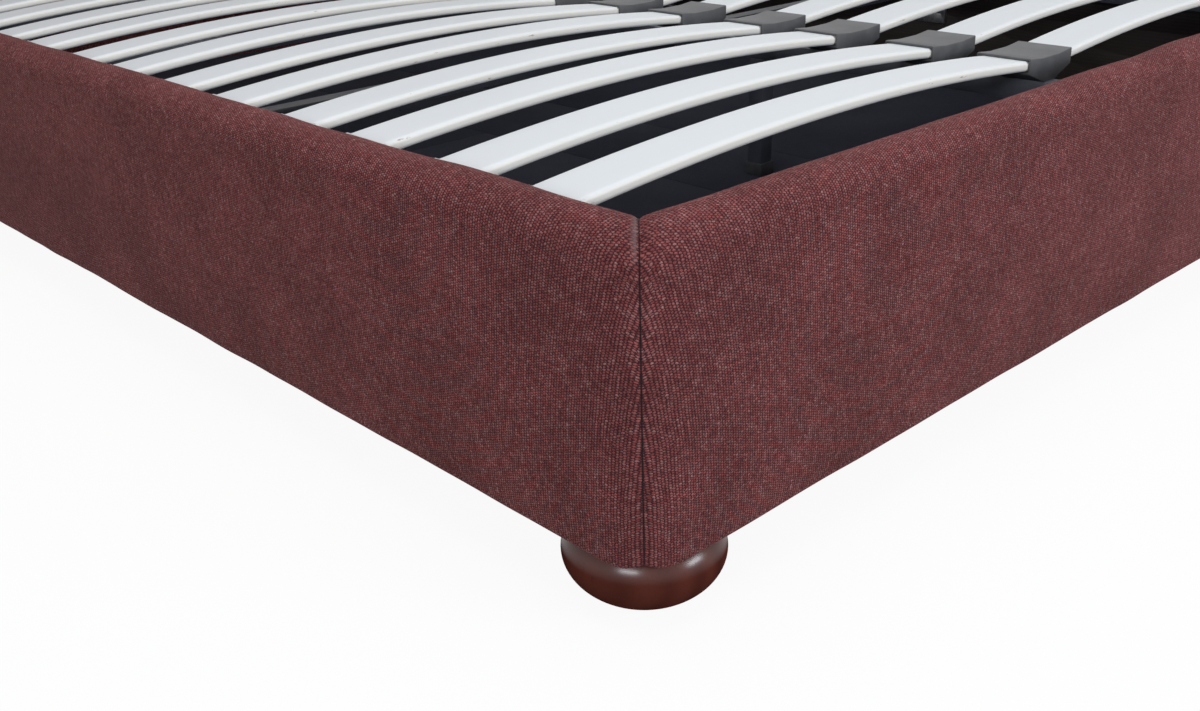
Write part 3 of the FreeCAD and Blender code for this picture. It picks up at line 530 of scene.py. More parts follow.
def addRings(verts, faces, rings):
    start = len(verts)
    verts += [point for ring in rings for point in ring]
    faces += [tuple(start + index for index in face) for face in ringFaces(len(rings), len(rings[0]))]


def ease(value):
    value = min(max(value, 0.0), 1.0)
    return value * value * (3 - 2 * value)


def fall(distance, reach):
    return math.exp(-(distance / reach) ** 2)


def ripple(piece, scales, share, shift=(0.0, 0.0, 0.0)):
    # share gives how much of the wave a point takes
    normals = [vertex.normal.copy() for vertex in piece.data.vertices]
    for index, vertex in enumerate(piece.data.vertices):
        place = vertex.co
        wave = noise.noise(place * scales[0]) + 0.5 * noise.noise(place * scales[1] + Vector(shift))
        vertex.co += normals[index] * (wave * railShape["waveHeight"] * share(index, place))


# Cloth run under light pressure, with its held points left where they are

puffFacts = {
    "frames": 16,
    "cap": 0.0013,
    "settings": {
        "vertex_group_mass": "held",
        "quality": 5,
        "mass": 0.3,
        "tension_stiffness": 12,
        "compression_stiffness": 12,
        "shear_stiffness": 4,
        "bending_stiffness": 1.2,
        "use_pressure": True,
        "uniform_pressure_force": 6.0,
        "shrink_min": -0.012,
    },
}


def puffOut(piece, held):
    group = piece.vertex_groups.new(name="held")
    group.add(sorted(set(held)), 1.0, "REPLACE")
    cloth = piece.modifiers.new("puff", "CLOTH")
    for key, value in puffFacts["settings"].items():
        setattr(cloth.settings, key, value)
    cloth.settings.effector_weights.gravity = 0
    cloth.collision_settings.use_collision = False
    rest = [vertex.co.copy() for vertex in piece.data.vertices]
    for step in range(1, puffFacts["frames"] + 1):
        scene.frame_set(step)
    shaped = piece.evaluated_get(bpy.context.evaluated_depsgraph_get())
    moved = [vertex.co.copy() for vertex in shaped.data.vertices]
    piece.modifiers.remove(cloth)
    piece.vertex_groups.clear()
    for vertex, before, after in zip(piece.data.vertices, rest, moved):
        move = after - before
        if move.length > puffFacts["cap"]:
            move *= puffFacts["cap"] / move.length
        vertex.co = before + move
    scene.frame_set(1)


# Rail covers: one padded, mitred cover over each rail board

railShape = {
    "rollRadius": 0.028,
    "bottomRadius": 0.008,
    "seamBottomRadius": 0.0025,
    "seamBottomReach": 0.030,
    "crown": 0.003,
    "topSwell": 0.0017,
    "flapDepth": 0.063,
    "flapThickness": 0.004,
    "boardThickness": 0.022,
    "topPadding": 0.028,
    "bottomLip": 0.003,
    "play": 0.0003,
    "mitrePlay": 0.00005,
    "cornerStart": 0.055,
    "cornerRadius": 0.083,
    "seamDip": 0.0040,
    "seamReach": 0.0036,
    # reach of the painted shadow in the seam's fold
    "paintedSeamShadowReach": 0.0009,
    # reach, start height and rise of the painted greyish sheen near the seam's top
    "paintedSeamLightReach": 0.0034,
    "paintedSeamLightStart": 0.252,
    "paintedSeamLightRise": 0.03,
    "mitreBlend": 0.120,
    "endRadius": 0.014,
    "firstStep": 0.0009,
    "stepGrowth": 1.22,
    "longestStep": 0.013,
    "leanReach": 0.160,
    "leanSlope": {"foot": 0.32, "left": 0.30, "right": 0.30},
    "leanLevel": 0.6,
    "waveHeight": 0.0016,
    "waveScales": (7.0, 17.0),
    "waveShift": (3.1, 5.7, 1.3),
    "facePoints": 22,
    "endColumns": 5,
    "mitreRounds": 60,
    "heldHem": 9,
    "heldColumns": 4,
    "stillHem": 2,
    "calmColumns": 16,
}

cornerLow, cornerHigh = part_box("foot_rail_cover")
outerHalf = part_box("headboard_cover")[1].x
footFace = cornerLow.y
railBottom = cornerLow.z
railThickness = cornerHigh.y - cornerLow.y
railHeight = cornerHigh.z - cornerLow.z
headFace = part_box("left_rail_cover")[1].y


def coverSection(inset, dip=0.0, distance=1.0):
    shape = railShape
    face = railThickness - inset - dip - shape["crown"]
    low = inset
    top = railHeight + shape["topSwell"] - inset - dip
    roll = shape["rollRadius"]
    nearSeam = fall(distance, shape["seamBottomReach"])
    bottom = shape["bottomRadius"] + (shape["seamBottomRadius"] - shape["bottomRadius"]) * nearSeam
    inner = face - roll
    flapLow = railHeight - shape["flapDepth"]
    points = stretch((0, flapLow), (0, top - inner), 5)
    points += turn((inner, top - inner), inner, 180, 90, 8)
    points += turn((inner, top - roll), roll, 90, 0, 10)
    for k in range(shape["facePoints"]):
        t = k / shape["facePoints"]
        swell = shape["crown"] * (1 - (2 * t - 1) ** 2)
        points.append((face + swell, top - roll + (low + bottom - top + roll) * t))
    points += turn((face - bottom, low + bottom), bottom, 0, -90, 5)
    under = shape["flapThickness"] + shape["play"]
    points += stretch((face - bottom, low), (under, low), 3)
    outerCount = len(points) + 1
    points.append((under, low))
    lip = low + shape["bottomLip"] - shape["play"]
    boardFace = under + shape["boardThickness"]
    boardTop = railHeight - shape["topPadding"] + shape["play"]
    within = shape["flapThickness"] - shape["play"]
    points += [(under, lip), (boardFace, lip), (boardFace, (lip + boardTop) / 2), (boardFace, boardTop),
               (within, boardTop), (within, flapLow)]
    return points, outerCount


def cornerInset(s):
    radius = railShape["cornerRadius"]
    reach = railShape["cornerStart"] - s
    return radius - math.sqrt(radius ** 2 - reach ** 2) if reach > 0 else 0.0


def cornerRun(s):
    # length of the cloth round the corner, so that the weave keeps its pitch there
    radius = railShape["cornerRadius"]
    reach = max(railShape["cornerStart"] - s, 0.0)
    return max(s, railShape["cornerStart"]) - radius * math.asin(reach / radius)


plainSection, outerCount = coverSection(0.0)
girths = runAlong(plainSection)


def mitrePlaces():
    places = []
    for k in range(len(plainSection)):
        s = railThickness / 2
        for step in range(railShape["mitreRounds"]):
            points = coverSection(cornerInset(s), railShape["seamDip"], 0.0)[0]
            s = (s + railThickness - points[k][0]) / 2
        places.append(s + railShape["mitrePlay"])
    return places


mitreStart = mitrePlaces()
creaseStart = min(mitreStart)


def columnDistances(half):
    distances = [0.0]
    step = railShape["firstStep"]
    while distances[-1] < half:
        distances.append(distances[-1] + step)
        step = min(step * railShape["stepGrowth"], railShape["longestStep"])
    return [distance * half / distances[-1] for distance in distances]


def mitredColumn(name, distance):
    # each point: way along the rail, out, up, way along the cloth, and the seam's painted light: painted
    # greyish sheen when positive, painted fold shadow when negative
    shape = railShape
    blend = ease(distance / shape["mitreBlend"])
    dip = shape["seamDip"] * fall(distance, shape["seamReach"])
    slope = shape["leanSlope"][name] * math.exp(-distance / shape["leanReach"])
    # painted shadow in the seam's fold
    foldShadow = fall(distance, shape["paintedSeamShadowReach"])
    column = []
    for k, start in enumerate(mitreStart):
        s = start * (1 - blend) + creaseStart * blend + distance
        u, w = coverSection(cornerInset(s), dip, distance)[0][k]
        # painted greyish sheen near the seam, high up on the side covers only; the painted fold shadow is
        # taken out of it and stored below zero
        edge = fall(distance, shape["paintedSeamLightReach"])
        edge *= ease((w - shape["paintedSeamLightStart"]) / shape["paintedSeamLightRise"]) if name != "foot" else 0.0
        lean = slope * (w ** 2 - (shape["leanLevel"] * railHeight) ** 2) / (2 * railHeight)
        column.append((s, u, w, cornerRun(s) + lean, edge * (1 - foldShadow) - foldShadow))
    return column


def squareColumn(s, inset):
    return [(s, u, w, s, 0.0) for u, w in coverSection(inset)[0]]


def railColumns(name):
    if name == "foot":
        half = outerHalf - creaseStart
        near = [mitredColumn(name, distance) for distance in columnDistances(half)]
        far = [[(2 * outerHalf - s, u, w, 2 * outerHalf - place, edge) for s, u, w, place, edge in column]
               for column in reversed(near[:-1])]
        return near + far
    radius = railShape["endRadius"]
    straight = headFace - footFace - radius
    columns = [mitredColumn(name, distance) for distance in columnDistances(straight - creaseStart)]
    for k in range(1, railShape["endColumns"] + 1):
        angle = math.pi / 2 * k / railShape["endColumns"]
        columns.append(squareColumn(straight + radius * math.sin(angle), radius * (1 - math.cos(angle))))
    return columns


def railPoint(name, s, u, w):
    if name == "foot":
        return Vector((s - outerHalf, footFace + railThickness - u, railBottom + w))
    side = -1 if name == "left" else 1
    return Vector((side * (outerHalf - railThickness + u), footFace + s, railBottom + w))


def railCloth(name, node):
    columns = railColumns(name)
    count = len(plainSection)
    verts = []
    places = []
    for column in columns:
        for k, (s, u, w, place, edge) in enumerate(column):
            verts.append(railPoint(name, s, u, w))
            # third value: the seam's painted sheen above zero and painted fold shadow below zero
            places.append((place, girths[k], edge))
    piece = newPiece(name + "_rail_cloth", verts, ringFaces(len(columns), count), node, 75)
    storePlaces(piece.data, places)
    creaseEnds(piece.data, count, len(columns))
    hemStart = outerCount - railShape["heldHem"]
    held = [k for k in range(len(verts)) if k % count >= hemStart or k % count < 1]
    endPoints = railShape["heldColumns"] * count
    held += list(range(endPoints)) + list(range(len(verts) - endPoints, len(verts)))
    puffOut(piece, held)
    loosen(piece, count, len(columns))
    smooth = piece.modifiers.new("smooth", "SUBSURF")
    smooth.levels = 1
    smooth.render_levels = 1
    print("cover made:", piece.name, len(verts), "points")


def creaseEnds(mesh, count, columnCount):
    # the mitred faces keep their outline when the mesh is smoothed, so that they meet at the corner
    mesh.edge_creases_ensure()
    creases = mesh.attributes["crease_edge"]
    for edge in mesh.edges:
        columns = {index // count for index in edge.vertices}
        if columns == {0} or columns == {columnCount - 1}:
            creases.data[edge.index].value = 1.0


def loosen(piece, count, columnCount):
    def share(index, place):
        column, k = divmod(index, count)
        if k >= outerCount - railShape["stillHem"] or k < railShape["stillHem"]:
            return 0.0
        return ease(min(column, columnCount - 1 - column) / railShape["calmColumns"])

    ripple(piece, railShape["waveScales"], share, railShape["waveShift"])


for coverName, coverNode in (("foot", "foot_rail_cover"), ("left", "left_rail_cover"),
                             ("right", "right_rail_cover")):
    railCloth(coverName, coverNode)


# Headboard cover: a flat part behind the mattress recess and one wide pad above the seam

headShape = {
    "edgeRadius": 0.025,
    "crown": 0.014,
    "seamRise": 0.008,
    "seamDip": 0.006,
    "seamReach": 0.007,
    "columnStep": 0.020,
    "rowStep": 0.017,
    "seamRows": (-0.005, -0.002, 0.0, 0.002, 0.005),
    "heldSeam": 0.006,
    "bulgePower": 4,
    "bulgeRise": 12,
    "topRows": 7,
    "edgePoints": 6,
    "sidePoints": 3,
    "backPoints": 10,
    "waveScales": (5.0, 13.0),
    "waveReach": 0.06,
}


def headLoop(half, front, edgeDrop, back):
    radius = min(headShape["edgeRadius"], (back - front) / 2)
    edge = front + edgeDrop
    points = stretch((-half, back), (-half, edge + radius), headShape["sidePoints"])
    points += turn((-half + radius, edge + radius), radius, 180, 270, headShape["edgePoints"])
    columns = int(2 * outerHalf / headShape["columnStep"])
    for k in range(columns):
        t = k / columns
        x = (-half + radius) + 2 * (half - radius) * t
        points.append((x, edge - edgeDrop * (1 - (2 * t - 1) ** headShape["bulgePower"])))
    points += turn((half - radius, edge + radius), radius, 270, 360, headShape["edgePoints"])
    points += stretch((half, edge + radius), (half, back), headShape["sidePoints"])
    points += stretch((half, back), (-half, back), headShape["backPoints"])
    return points


def headRows(low, high, seam):
    shape = headShape
    rows = evenly(low, seam, int((seam - low) / shape["rowStep"]))[:-1]
    rows += [seam + step for step in shape["seamRows"]]
    return rows + evenly(seam, high, int((high - seam) / shape["rowStep"]))[1:]


def headboardCloth():
    shape = headShape
    low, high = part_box("headboard_cover")
    seam = railBottom + railHeight + shape["seamRise"]
    roundStart = high.z - shape["edgeRadius"]
    loops = []
    for z in headRows(low.z, roundStart, seam):
        dip = shape["seamDip"] * fall(z - seam, shape["seamReach"])
        if z <= seam:
            loops.append((z, headLoop(high.x, low.y + dip, 0.0001, high.y)))
            continue
        t = (z - seam) / (roundStart - seam)
        bulge = 1 - (2 * t - 1) ** shape["bulgePower"]
        front = low.y + shape["crown"] / 2 * (1 - bulge)
        drop = shape["crown"] / 2 * ease(t * shape["bulgeRise"])
        loops.append((z, headLoop(high.x, front + dip, drop, high.y)))
    for k in range(1, shape["topRows"] + 1):
        angle = math.pi / 2 * k / shape["topRows"]
        draw = shape["edgeRadius"] * (1 - math.cos(angle))
        front = low.y + shape["crown"] / 2 + draw
        loops.append((roundStart + shape["edgeRadius"] * math.sin(angle),
                      headLoop(high.x - draw, front, shape["crown"] / 2, high.y - draw / 2)))
    count = len(loops[0][1])
    verts = [(x, y, z) for z, loop in loops for x, y in loop]
    rises = runAlong([(z, loop[count // 2][1]) for z, loop in loops])
    places = [(around, rise, 0.0) for (z, loop), rise in zip(loops, rises) for around in runAlong(loop)]
    piece = newPiece("headboard_cloth", verts, ringFaces(len(loops), count), "headboard_cover", 60)
    storePlaces(piece.data, places)
    sideEnd = shape["sidePoints"]
    backStart = count - shape["backPoints"] - 2
    held = [k for k in range(len(verts)) if k % count >= backStart or k % count < sideEnd]
    seamRows = [r for r, (z, loop) in enumerate(loops) if abs(z - seam) < shape["heldSeam"]]
    held += [r * count + k for r in seamRows + [0, len(loops) - 1] for k in range(count)]
    puffOut(piece, held)

    def share(index, place):
        row, k = divmod(index, count)
        free = sideEnd <= k < backStart and 1 < row < len(loops) - 2
        return ease(abs(place.z - seam) / shape["waveReach"]) if free else 0.0

    ripple(piece, shape["waveScales"], share)
    print("cover made:", piece.name, len(verts), "points")


headboardCloth()


# Black cloth over the back of the headboard, with its hem stapled down

backShape = {
    "border": 0.016,
    "thickness": 0.0008,
    "clear": 0.0003,
    "cell": 0.022,
    "hem": 0.018,
    "single": 0.35,
    "pull": 0.0004,
    "pullScale": 9.0,
    "stapleOut": 2.4,
    "stapleGap": 0.075,
    "stapleWidth": 0.011,
    "stapleRadius": 0.0006,
}


def headboardBack():
    shape = backShape
    low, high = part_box("headboard_cover")
    half = high.x - shape["border"]
    bottom = low.z + shape["border"]
    top = high.z - shape["border"] - headShape["edgeRadius"] / 2
    columns = int(2 * half / shape["cell"])
    rows = int((top - bottom) / shape["cell"])
    verts = []
    for layer in (0, 1):
        for z in evenly(bottom, top, rows):
            for x in evenly(-half, half, columns):
                inside = min(half - abs(x), z - bottom, top - z)
                hem = shape["thickness"] * (1.0 if inside < shape["hem"] else shape["single"])
                spot = Vector((x * shape["pullScale"], 2.0, z * shape["pullScale"]))
                pull = shape["pull"] * noise.noise(spot) + shape["pull"]
                depth = hem + pull if layer else 0.0
                verts.append((x, high.y + shape["clear"] + depth, z))
    step = columns + 1
    size = step * (rows + 1)
    faces = []
    for r in range(rows):
        for c in range(columns):
            a = r * step + c
            faces.append((a, a + 1, a + step + 1, a + step))
            faces.append((size + a, size + a + step, size + a + step + 1, size + a + 1))
    rim = list(range(columns)) + [r * step + columns for r in range(rows)]
    rim += [rows * step + c for c in range(columns, 0, -1)] + [r * step for r in range(rows, 0, -1)]
    for k, first in enumerate(rim):
        second = rim[(k + 1) % len(rim)]
        faces.append((first, second, size + second, size + first))
    piece = newPiece("headboard_back_cloth", verts, faces, "headboard_cover", 40, "floor_lining",
                     backFelt)
    y = high.y + shape["clear"] + shape["stapleOut"] * shape["thickness"]
    inset = shape["hem"] / 2
    tools = bmesh.new()
    for centre, alongX in staplePlaces(half - inset, bottom + inset, top - inset, y):
        addStaple(tools, centre, alongX)
    shapedPiece("headboard_staples", tools, "headboard_cover", 40, "zinc_steel")
    print("headboard back made")


def staplePlaces(half, bottom, top, y):
    places = []
    for x in evenly(-half, half, int(2 * half / backShape["stapleGap"])):
        places += [(Vector((x, y, bottom)), True), (Vector((x, y, top)), True)]
    for z in evenly(bottom, top, int((top - bottom) / backShape["stapleGap"]))[1:-1]:
        places += [(Vector((-half, y, z)), False), (Vector((half, y, z)), False)]
    return places


def addStaple(shape, centre, alongX):
    radius = backShape["stapleRadius"]
    long = backShape["stapleWidth"]
    size = (long, 2 * radius, 2 * radius) if alongX else (2 * radius, 2 * radius, long)
    made = bmesh.ops.create_cube(shape, size=1.0, matrix=Matrix.Translation(centre)
                                 @ Matrix.Diagonal((*size, 1.0)))
    edges = {edge for vert in made["verts"] for edge in vert.link_edges}
    bmesh.ops.bevel(shape, geom=list(edges), offset=radius * 0.6, segments=2, profile=0.5, affect="EDGES")


headboardBack()


# Turned feet

bunShape = {"widest": 0.044, "below": 0.0476, "above": 0.045, "rings": 48, "sides": 96}


def bunFoot(node):
    low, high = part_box(node)
    middle = (low + high) / 2
    radius = (high.x - low.x) / 2
    lowTurn = -math.asin((bunShape["widest"] - low.z) / bunShape["below"])
    highTurn = math.asin((high.z - bunShape["widest"]) / bunShape["above"])
    profile = []
    for angle in evenly(lowTurn, highTurn, bunShape["rings"]):
        height = bunShape["below"] if angle < 0 else bunShape["above"]
        profile.append((radius * math.cos(angle), bunShape["widest"] + height * math.sin(angle)))
    count = bunShape["sides"]
    verts = [(middle.x + across * x, middle.y + across * y, z)
             for across, z in profile for x, y in circle(count)]
    newPiece(node.replace("bun_foot", "turned_foot"), verts, ringFaces(len(profile), count), node, 50)


for node in bodyOf:
    if node.startswith("bun_foot"):
        bunFoot(node)
print("feet turned")


# Bowed slats

slatShape = {"thickness": 0.012, "edgeRadius": 0.0048, "segments": 30, "edgeSteps": 7, "bow": 0.01895}


def islands(mesh):
    # boxes of a node's separate solids, by joined vertices
    shape = bmesh.new()
    shape.from_mesh(mesh)
    bmesh.ops.remove_doubles(shape, verts=shape.verts, dist=1e-6)
    left = set(shape.verts)
    boxes = []
    while left:
        group = [left.pop()]
        low = group[0].co.copy()
        high = group[0].co.copy()
        while group:
            vert = group.pop()
            low = Vector(map(min, low, vert.co))
            high = Vector(map(max, high, vert.co))
            for edge in vert.link_edges:
                other = edge.other_vert(vert)
                if other in left:
                    left.discard(other)
                    group.append(other)
        boxes.append((low, high))
    shape.free()
    return sorted(boxes, key=lambda pair: (round(pair[0].y, 4), round(pair[0].x, 4), round(pair[0].z, 4)))


def bendRadius(halfSpan):
    return (halfSpan ** 2 + slatShape["bow"] ** 2) / (2 * slatShape["bow"])


def slatOutline(width):
    shape = slatShape
    radius = shape["edgeRadius"]
    half = width / 2
    thick = shape["thickness"]
    side = half - radius
    low = -thick + radius
    points = stretch((side, 0.0), (-side, 0.0), 6)
    points += turn((-side, -radius), radius, 90, 180, shape["edgeSteps"]) + [(-half, -radius)]
    points += turn((-side, low), radius, 180, 270, shape["edgeSteps"])
    points += stretch((-side, -thick), (side, -thick), 6)
    points += turn((side, low), radius, 270, 360, shape["edgeSteps"]) + [(half, low)]
    points += turn((side, -radius), radius, 0, 90, shape["edgeSteps"])
    return points


def slatRow(node):
    verts = []
    faces = []
    for low, high in islands(frame["nodes"][node].data):
        middleX = (low.x + high.x) / 2
        halfSpan = (high.x - low.x) / 2
        bend = bendRadius(halfSpan)
        outline = slatOutline(high.y - low.y)
        middleY = (low.y + high.y) / 2
        rings = []
        for x in evenly(-halfSpan, halfSpan, slatShape["segments"]):
            drop = bend - math.sqrt(bend ** 2 - x ** 2)
            rings.append([(middleX + x, middleY + y, high.z - drop + z) for y, z in outline])
        addRings(verts, faces, rings)
    newPiece(node + "_bowed", verts, faces, node, 50)


for node in ("slats_left", "slats_right"):
    slatRow(node)
print("slats made")


# Pull strap of woven webbing, a closed loop round the foot tube

strapShape = {"thickness": 0.002, "cornerRadius": 0.004, "columns": 8, "edge": 0.0006, "edgeSlope": 6}


def strapLine(low, high):
    half = (high.y - low.y) / 2
    radius = strapShape["cornerRadius"]
    middle = (low.y + high.y) / 2
    line = turn((middle - half + radius, high.z - radius), radius, 180, 90, 5)
    line += stretch((middle - half + radius, high.z), (middle + half - radius, high.z), 4)
    line += turn((middle + half - radius, high.z - radius), radius, 90, 0, 5)
    line += stretch((middle + half, high.z - radius), (middle + half, low.z + half), 10)
    line += turn((middle, low.z + half), half, 0, -180, 16)
    line += stretch((middle - half, low.z + half), (middle - half, high.z - radius), 10)
    return line


def pullStrap():
    low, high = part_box("pull_strap")
    line = strapLine(low, high)
    count = len(line)
    runs = runAlong(line)
    columns = strapShape["columns"]
    verts = []
    places = []
    thick = strapShape["thickness"]
    for k in range(count):
        before = line[k - 1]
        after = line[(k + 1) % count]
        way = Vector((after[0] - before[0], after[1] - before[1])).normalized()
        inward = Vector((way.y, -way.x))
        ring = [(c / columns, 0.0) for c in range(columns + 1)]
        ring += [(c / columns, 1.0) for c in range(columns, -1, -1)]
        for share, depth in ring:
            edge = 1 - abs(2 * share - 1)
            thin = strapShape["edge"] * (1 - min(edge * strapShape["edgeSlope"], 1.0))
            across = thin + (thick - 2 * thin) * depth
            x = low.x + (high.x - low.x) * share
            verts.append((x, line[k][0] + inward.x * across, line[k][1] + inward.y * across))
            places.append(((high.x - low.x) * share, runs[k], 0.0))
    around = 2 * (columns + 1)
    piece = newPiece("webbing_pull", verts, ringFaces(count, around, True), "pull_strap", 60)
    storePlaces(piece.data, places)


pullStrap()
print("strap made")


# Button head bolts with a hexagon socket

boltShape = {
    "radius": 0.007,
    "height": 0.0035,
    "profile": ((1.0, 0.0), (1.0, 0.25), (0.93, 0.55), (0.80, 0.80), (0.62, 0.96), (0.55, 1.0)),
    "socket": 0.0026,
    "socketDepth": 0.0018,
    "sides": 30,
}


def boltHead(base, out):
    facts = boltShape
    turned = out.to_track_quat("Z", "Y").to_matrix().to_4x4()
    place = Matrix.Translation(base) @ turned
    rings = []
    for across, rise in facts["profile"]:
        wide = facts["radius"] * across
        rise = facts["height"] * rise
        rings.append([Vector((wide * x, wide * y, rise)) for x, y in circle(facts["sides"])])
    for depth in (0.0, facts["socketDepth"]):
        ring = []
        for k in range(facts["sides"]):
            angle = 2 * math.pi * k / facts["sides"]
            flat = math.cos(math.pi / 6) / math.cos((angle % (math.pi / 3)) - math.pi / 6)
            wide = facts["socket"] * flat
            ring.append(Vector((wide * math.cos(angle), wide * math.sin(angle), facts["height"] - depth)))
        rings.append(ring)
    return [[place @ point for point in ring] for ring in rings]


def boltHeads(node):
    verts = []
    faces = []
    for low, high in islands(frame["nodes"][node].data):
        size = high - low
        middle = (low + high) / 2
        if size.x > size.y:
            inward = -1 if middle.x > 0 else 1
            if node == "arm_bolts":
                inward = -inward
            out = Vector((inward, 0, 0))
            tip = Vector((high.x if inward > 0 else low.x, middle.y, middle.z))
        else:
            out = Vector((0, 1, 0))
            tip = Vector((middle.x, high.y, middle.z))
        addRings(verts, faces, boltHead(tip - out * boltShape["height"], out))
    newPiece(node + "_heads", verts, faces, node, 35)


for node in ("bracket_bolts", "arm_bolts"):
    boltHeads(node)
print("bolt heads made")


# Everything rigid that is left keeps its construction shape, with its edges eased as the real one's are,
# and the slat shoes slimmed first; the bolts and nuts hidden inside only take their finish

easeFacts = {"weld": 2e-6, "flatAngle": 0.5, "sharpAngle": 40, "segments": 2}
edgeSizes = {
    "board_laminate": 0.0008,
    "softwood": 0.0016,
    "floor_lining": 0.0012,
    "frame_steel": 0.0026,
    "zinc_steel": 0.0006,
    "mechanism_steel": 0.0008,
    "rod_chrome": 0.0005,
    "holder_plastic": 0.0012,
    "white_plastic": 0.0004,
    "cap_plastic": 0.0012,
    "black_plastic": 0.0010,
    "rubber": 0.0005,
}
shoeShape = {"lip": 0.0005, "wall": 0.0008, "lipStart": 0.753, "inner": 0.745, "foldDepth": 0.0165}


def slimShoes(shape):
    # the moulding is thinner than its construction shape at the slat's edges and over its end
    low, high = islands(frame["nodes"]["slats_right"].data)[0]
    middle = (low.x + high.x) / 2
    bend = bendRadius((high.x - low.x) / 2)
    reach = (high.y - low.y) / 2 + shoeShape["wall"]

    def slatTop(x):
        return high.z - bend + math.sqrt(bend ** 2 - (x - middle) ** 2)

    rows = sorted({round((a.y + b.y) / 2, 5) for a, b in islands(frame["nodes"]["slat_end_caps"].data)})
    for vert in shape.verts:
        row = min(rows, key=lambda y: abs(vert.co.y - y))
        vert.co.y = row + max(-reach, min(reach, vert.co.y - row))
        before = min(abs(vert.co.x), high.x)
        over = vert.co.z - slatTop(before)
        across = max(before, shoeShape["lipStart"] if over > 0 else shoeShape["inner"])
        if over > -shoeShape["foldDepth"]:
            vert.co.z = slatTop(across) + min(over, shoeShape["lip"])
        if abs(vert.co.x) > high.x:
            across = high.x + shoeShape["wall"]
        vert.co.x = math.copysign(across, vert.co.x)


def easedCopy(node):
    shape = bmesh.new()
    shape.from_mesh(frame["nodes"][node].data)
    bmesh.ops.remove_doubles(shape, verts=shape.verts, dist=easeFacts["weld"])
    if node == "slat_end_caps":
        slimShoes(shape)
    bmesh.ops.dissolve_limit(shape, angle_limit=math.radians(easeFacts["flatAngle"]), verts=shape.verts,
                             edges=shape.edges)
    sharp = [edge for edge in shape.edges if len(edge.link_faces) == 2
             and edge.calc_face_angle() > math.radians(easeFacts["sharpAngle"])]
    bmesh.ops.bevel(shape, geom=sharp, offset=edgeSizes[slotOf[node]], segments=easeFacts["segments"],
                    profile=0.5, affect="EDGES", clamp_overlap=True)
    shapedPiece(node + "_eased", shape, node, 32)


hiddenInside = ("hanger_bolts", "headboard_bolts", "barrel_nuts")
for node, shown in frame["nodes"].items():
    if shown.hide_render:
        continue
    if node in hiddenInside:
        shown.data.materials.clear()
        shown.data.materials.append(finishes[slotOf[node]])
        continue
    easedCopy(node)
print("rigid pieces eased")


# Floor, light and camera

stageFacts = {"size": 40.0, "shownColour": 0.92, "floorColour": 0.46, "ownLight": 0.93}


def paleFloor():
    half = stageFacts["size"] / 2
    mesh = bpy.data.meshes.new("studio_floor")
    corners = [(-half, -half, 0), (half, -half, 0), (half, half, 0), (-half, half, 0)]
    mesh.from_pydata(corners, [], [(0, 1, 2, 3)])
    finish, paint, shader = newFinish("studio_floor", {"Roughness": 0.9, "Specular IOR Level": 0.0})
    seen = seenMask(finish.node_tree)
    shown = seen * (stageFacts["shownColour"] - stageFacts["floorColour"]) + stageFacts["floorColour"]
    feed(grey(shown), shader, "Base Color")
    glow = paint.add("Emission", None, {"Color": rgb(1, 1, 1), "Strength": 1.0})
    lit = Wire(finish.node_tree, shader.outputs[0])
    mixed = paint.add("MixShader", None, {0: seen * stageFacts["ownLight"], 1: lit, 2: glow})
    output = finish.node_tree.nodes["Material Output"]
    finish.node_tree.links.new(mixed.socket, output.inputs["Surface"])
    mesh.materials.append(finish)
    placed("studio_floor", mesh)


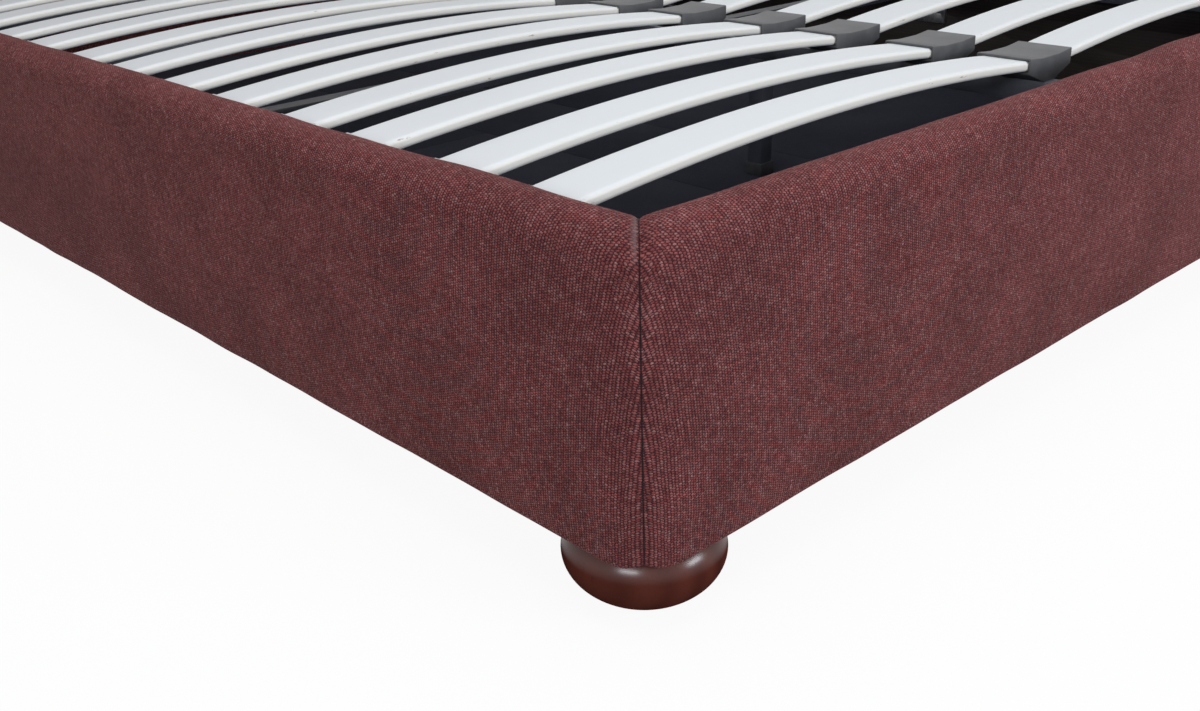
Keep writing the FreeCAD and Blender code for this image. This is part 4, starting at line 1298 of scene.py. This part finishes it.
lightFacts = {
    "world": 0.20,
    "lamps": {
        "overhead": {"place": (-0.7, -0.9, 3.4), "aim": (-0.4, -0.5, 0.2), "size": (2.6, 2.6),
                     "power": 62.0, "tint": (1.0, 1.0, 1.0)},
        "frontRight": {"place": (0.62, -3.70, 1.12), "aim": (-0.5, -1.0, 0.2), "size": (1.15, 0.46),
                       "power": 44.0, "tint": (0.90, 0.94, 1.0)},
        "frontLeft": {"place": (-3.2, -2.07, 1.26), "aim": (-0.8, -0.9, 0.2), "size": (1.15, 0.36),
                      "power": 32.5, "tint": (0.90, 0.94, 1.0)},
    },
}


def studioLight():
    world = bpy.data.worlds.new("studio_world")
    scene.world = world
    world.use_nodes = True
    tree = world.node_tree
    background = tree.nodes["Background"]
    level = seenMask(tree) * (1.0 - lightFacts["world"]) + lightFacts["world"]
    background.inputs["Color"].default_value = rgb(1, 1, 1)
    tree.links.new(level.socket, background.inputs["Strength"])
    for name, facts in lightFacts["lamps"].items():
        data = bpy.data.lights.new(name, "AREA")
        data.shape = "RECTANGLE"
        data.size, data.size_y = facts["size"]
        data.energy = facts["power"]
        data.color = facts["tint"]
        lamp = placed(name, data)
        lamp.location = facts["place"]
        way = Vector(facts["aim"]) - Vector(facts["place"])
        lamp.rotation_mode = "QUATERNION"
        lamp.rotation_quaternion = way.to_track_quat("-Z", "Y")


cameraFacts = {"place": (-1.4071, -1.6682, 0.6367), "yaw": 47.1944, "pitch": 24.097, "roll": -1.754,
               "lens": 37.6313, "sensor": 36.0, "clip": (0.01, 100)}


def photoCamera():
    yaw, pitch, roll = [math.radians(cameraFacts[key]) for key in ("yaw", "pitch", "roll")]
    ahead = Vector((math.cos(pitch) * math.cos(yaw), math.cos(pitch) * math.sin(yaw), -math.sin(pitch)))
    right = Vector((math.sin(yaw), -math.cos(yaw), 0))
    up = right.cross(ahead)
    across = right * math.cos(roll) + up * math.sin(roll)
    upright = up * math.cos(roll) - right * math.sin(roll)
    data = bpy.data.cameras.new("photo_camera")
    data.sensor_width = cameraFacts["sensor"]
    data.lens = cameraFacts["lens"]
    data.clip_start, data.clip_end = cameraFacts["clip"]
    camera = placed("photo_camera", data)
    turned = Matrix((across, upright, -ahead)).transposed().to_4x4()
    camera.matrix_world = Matrix.Translation(Vector(cameraFacts["place"])) @ turned
    scene.camera = camera


paleFloor()
studioLight()
photoCamera()
scene.view_settings.view_transform = "Standard"
print("stage set")

bpy.context.view_layer.update()
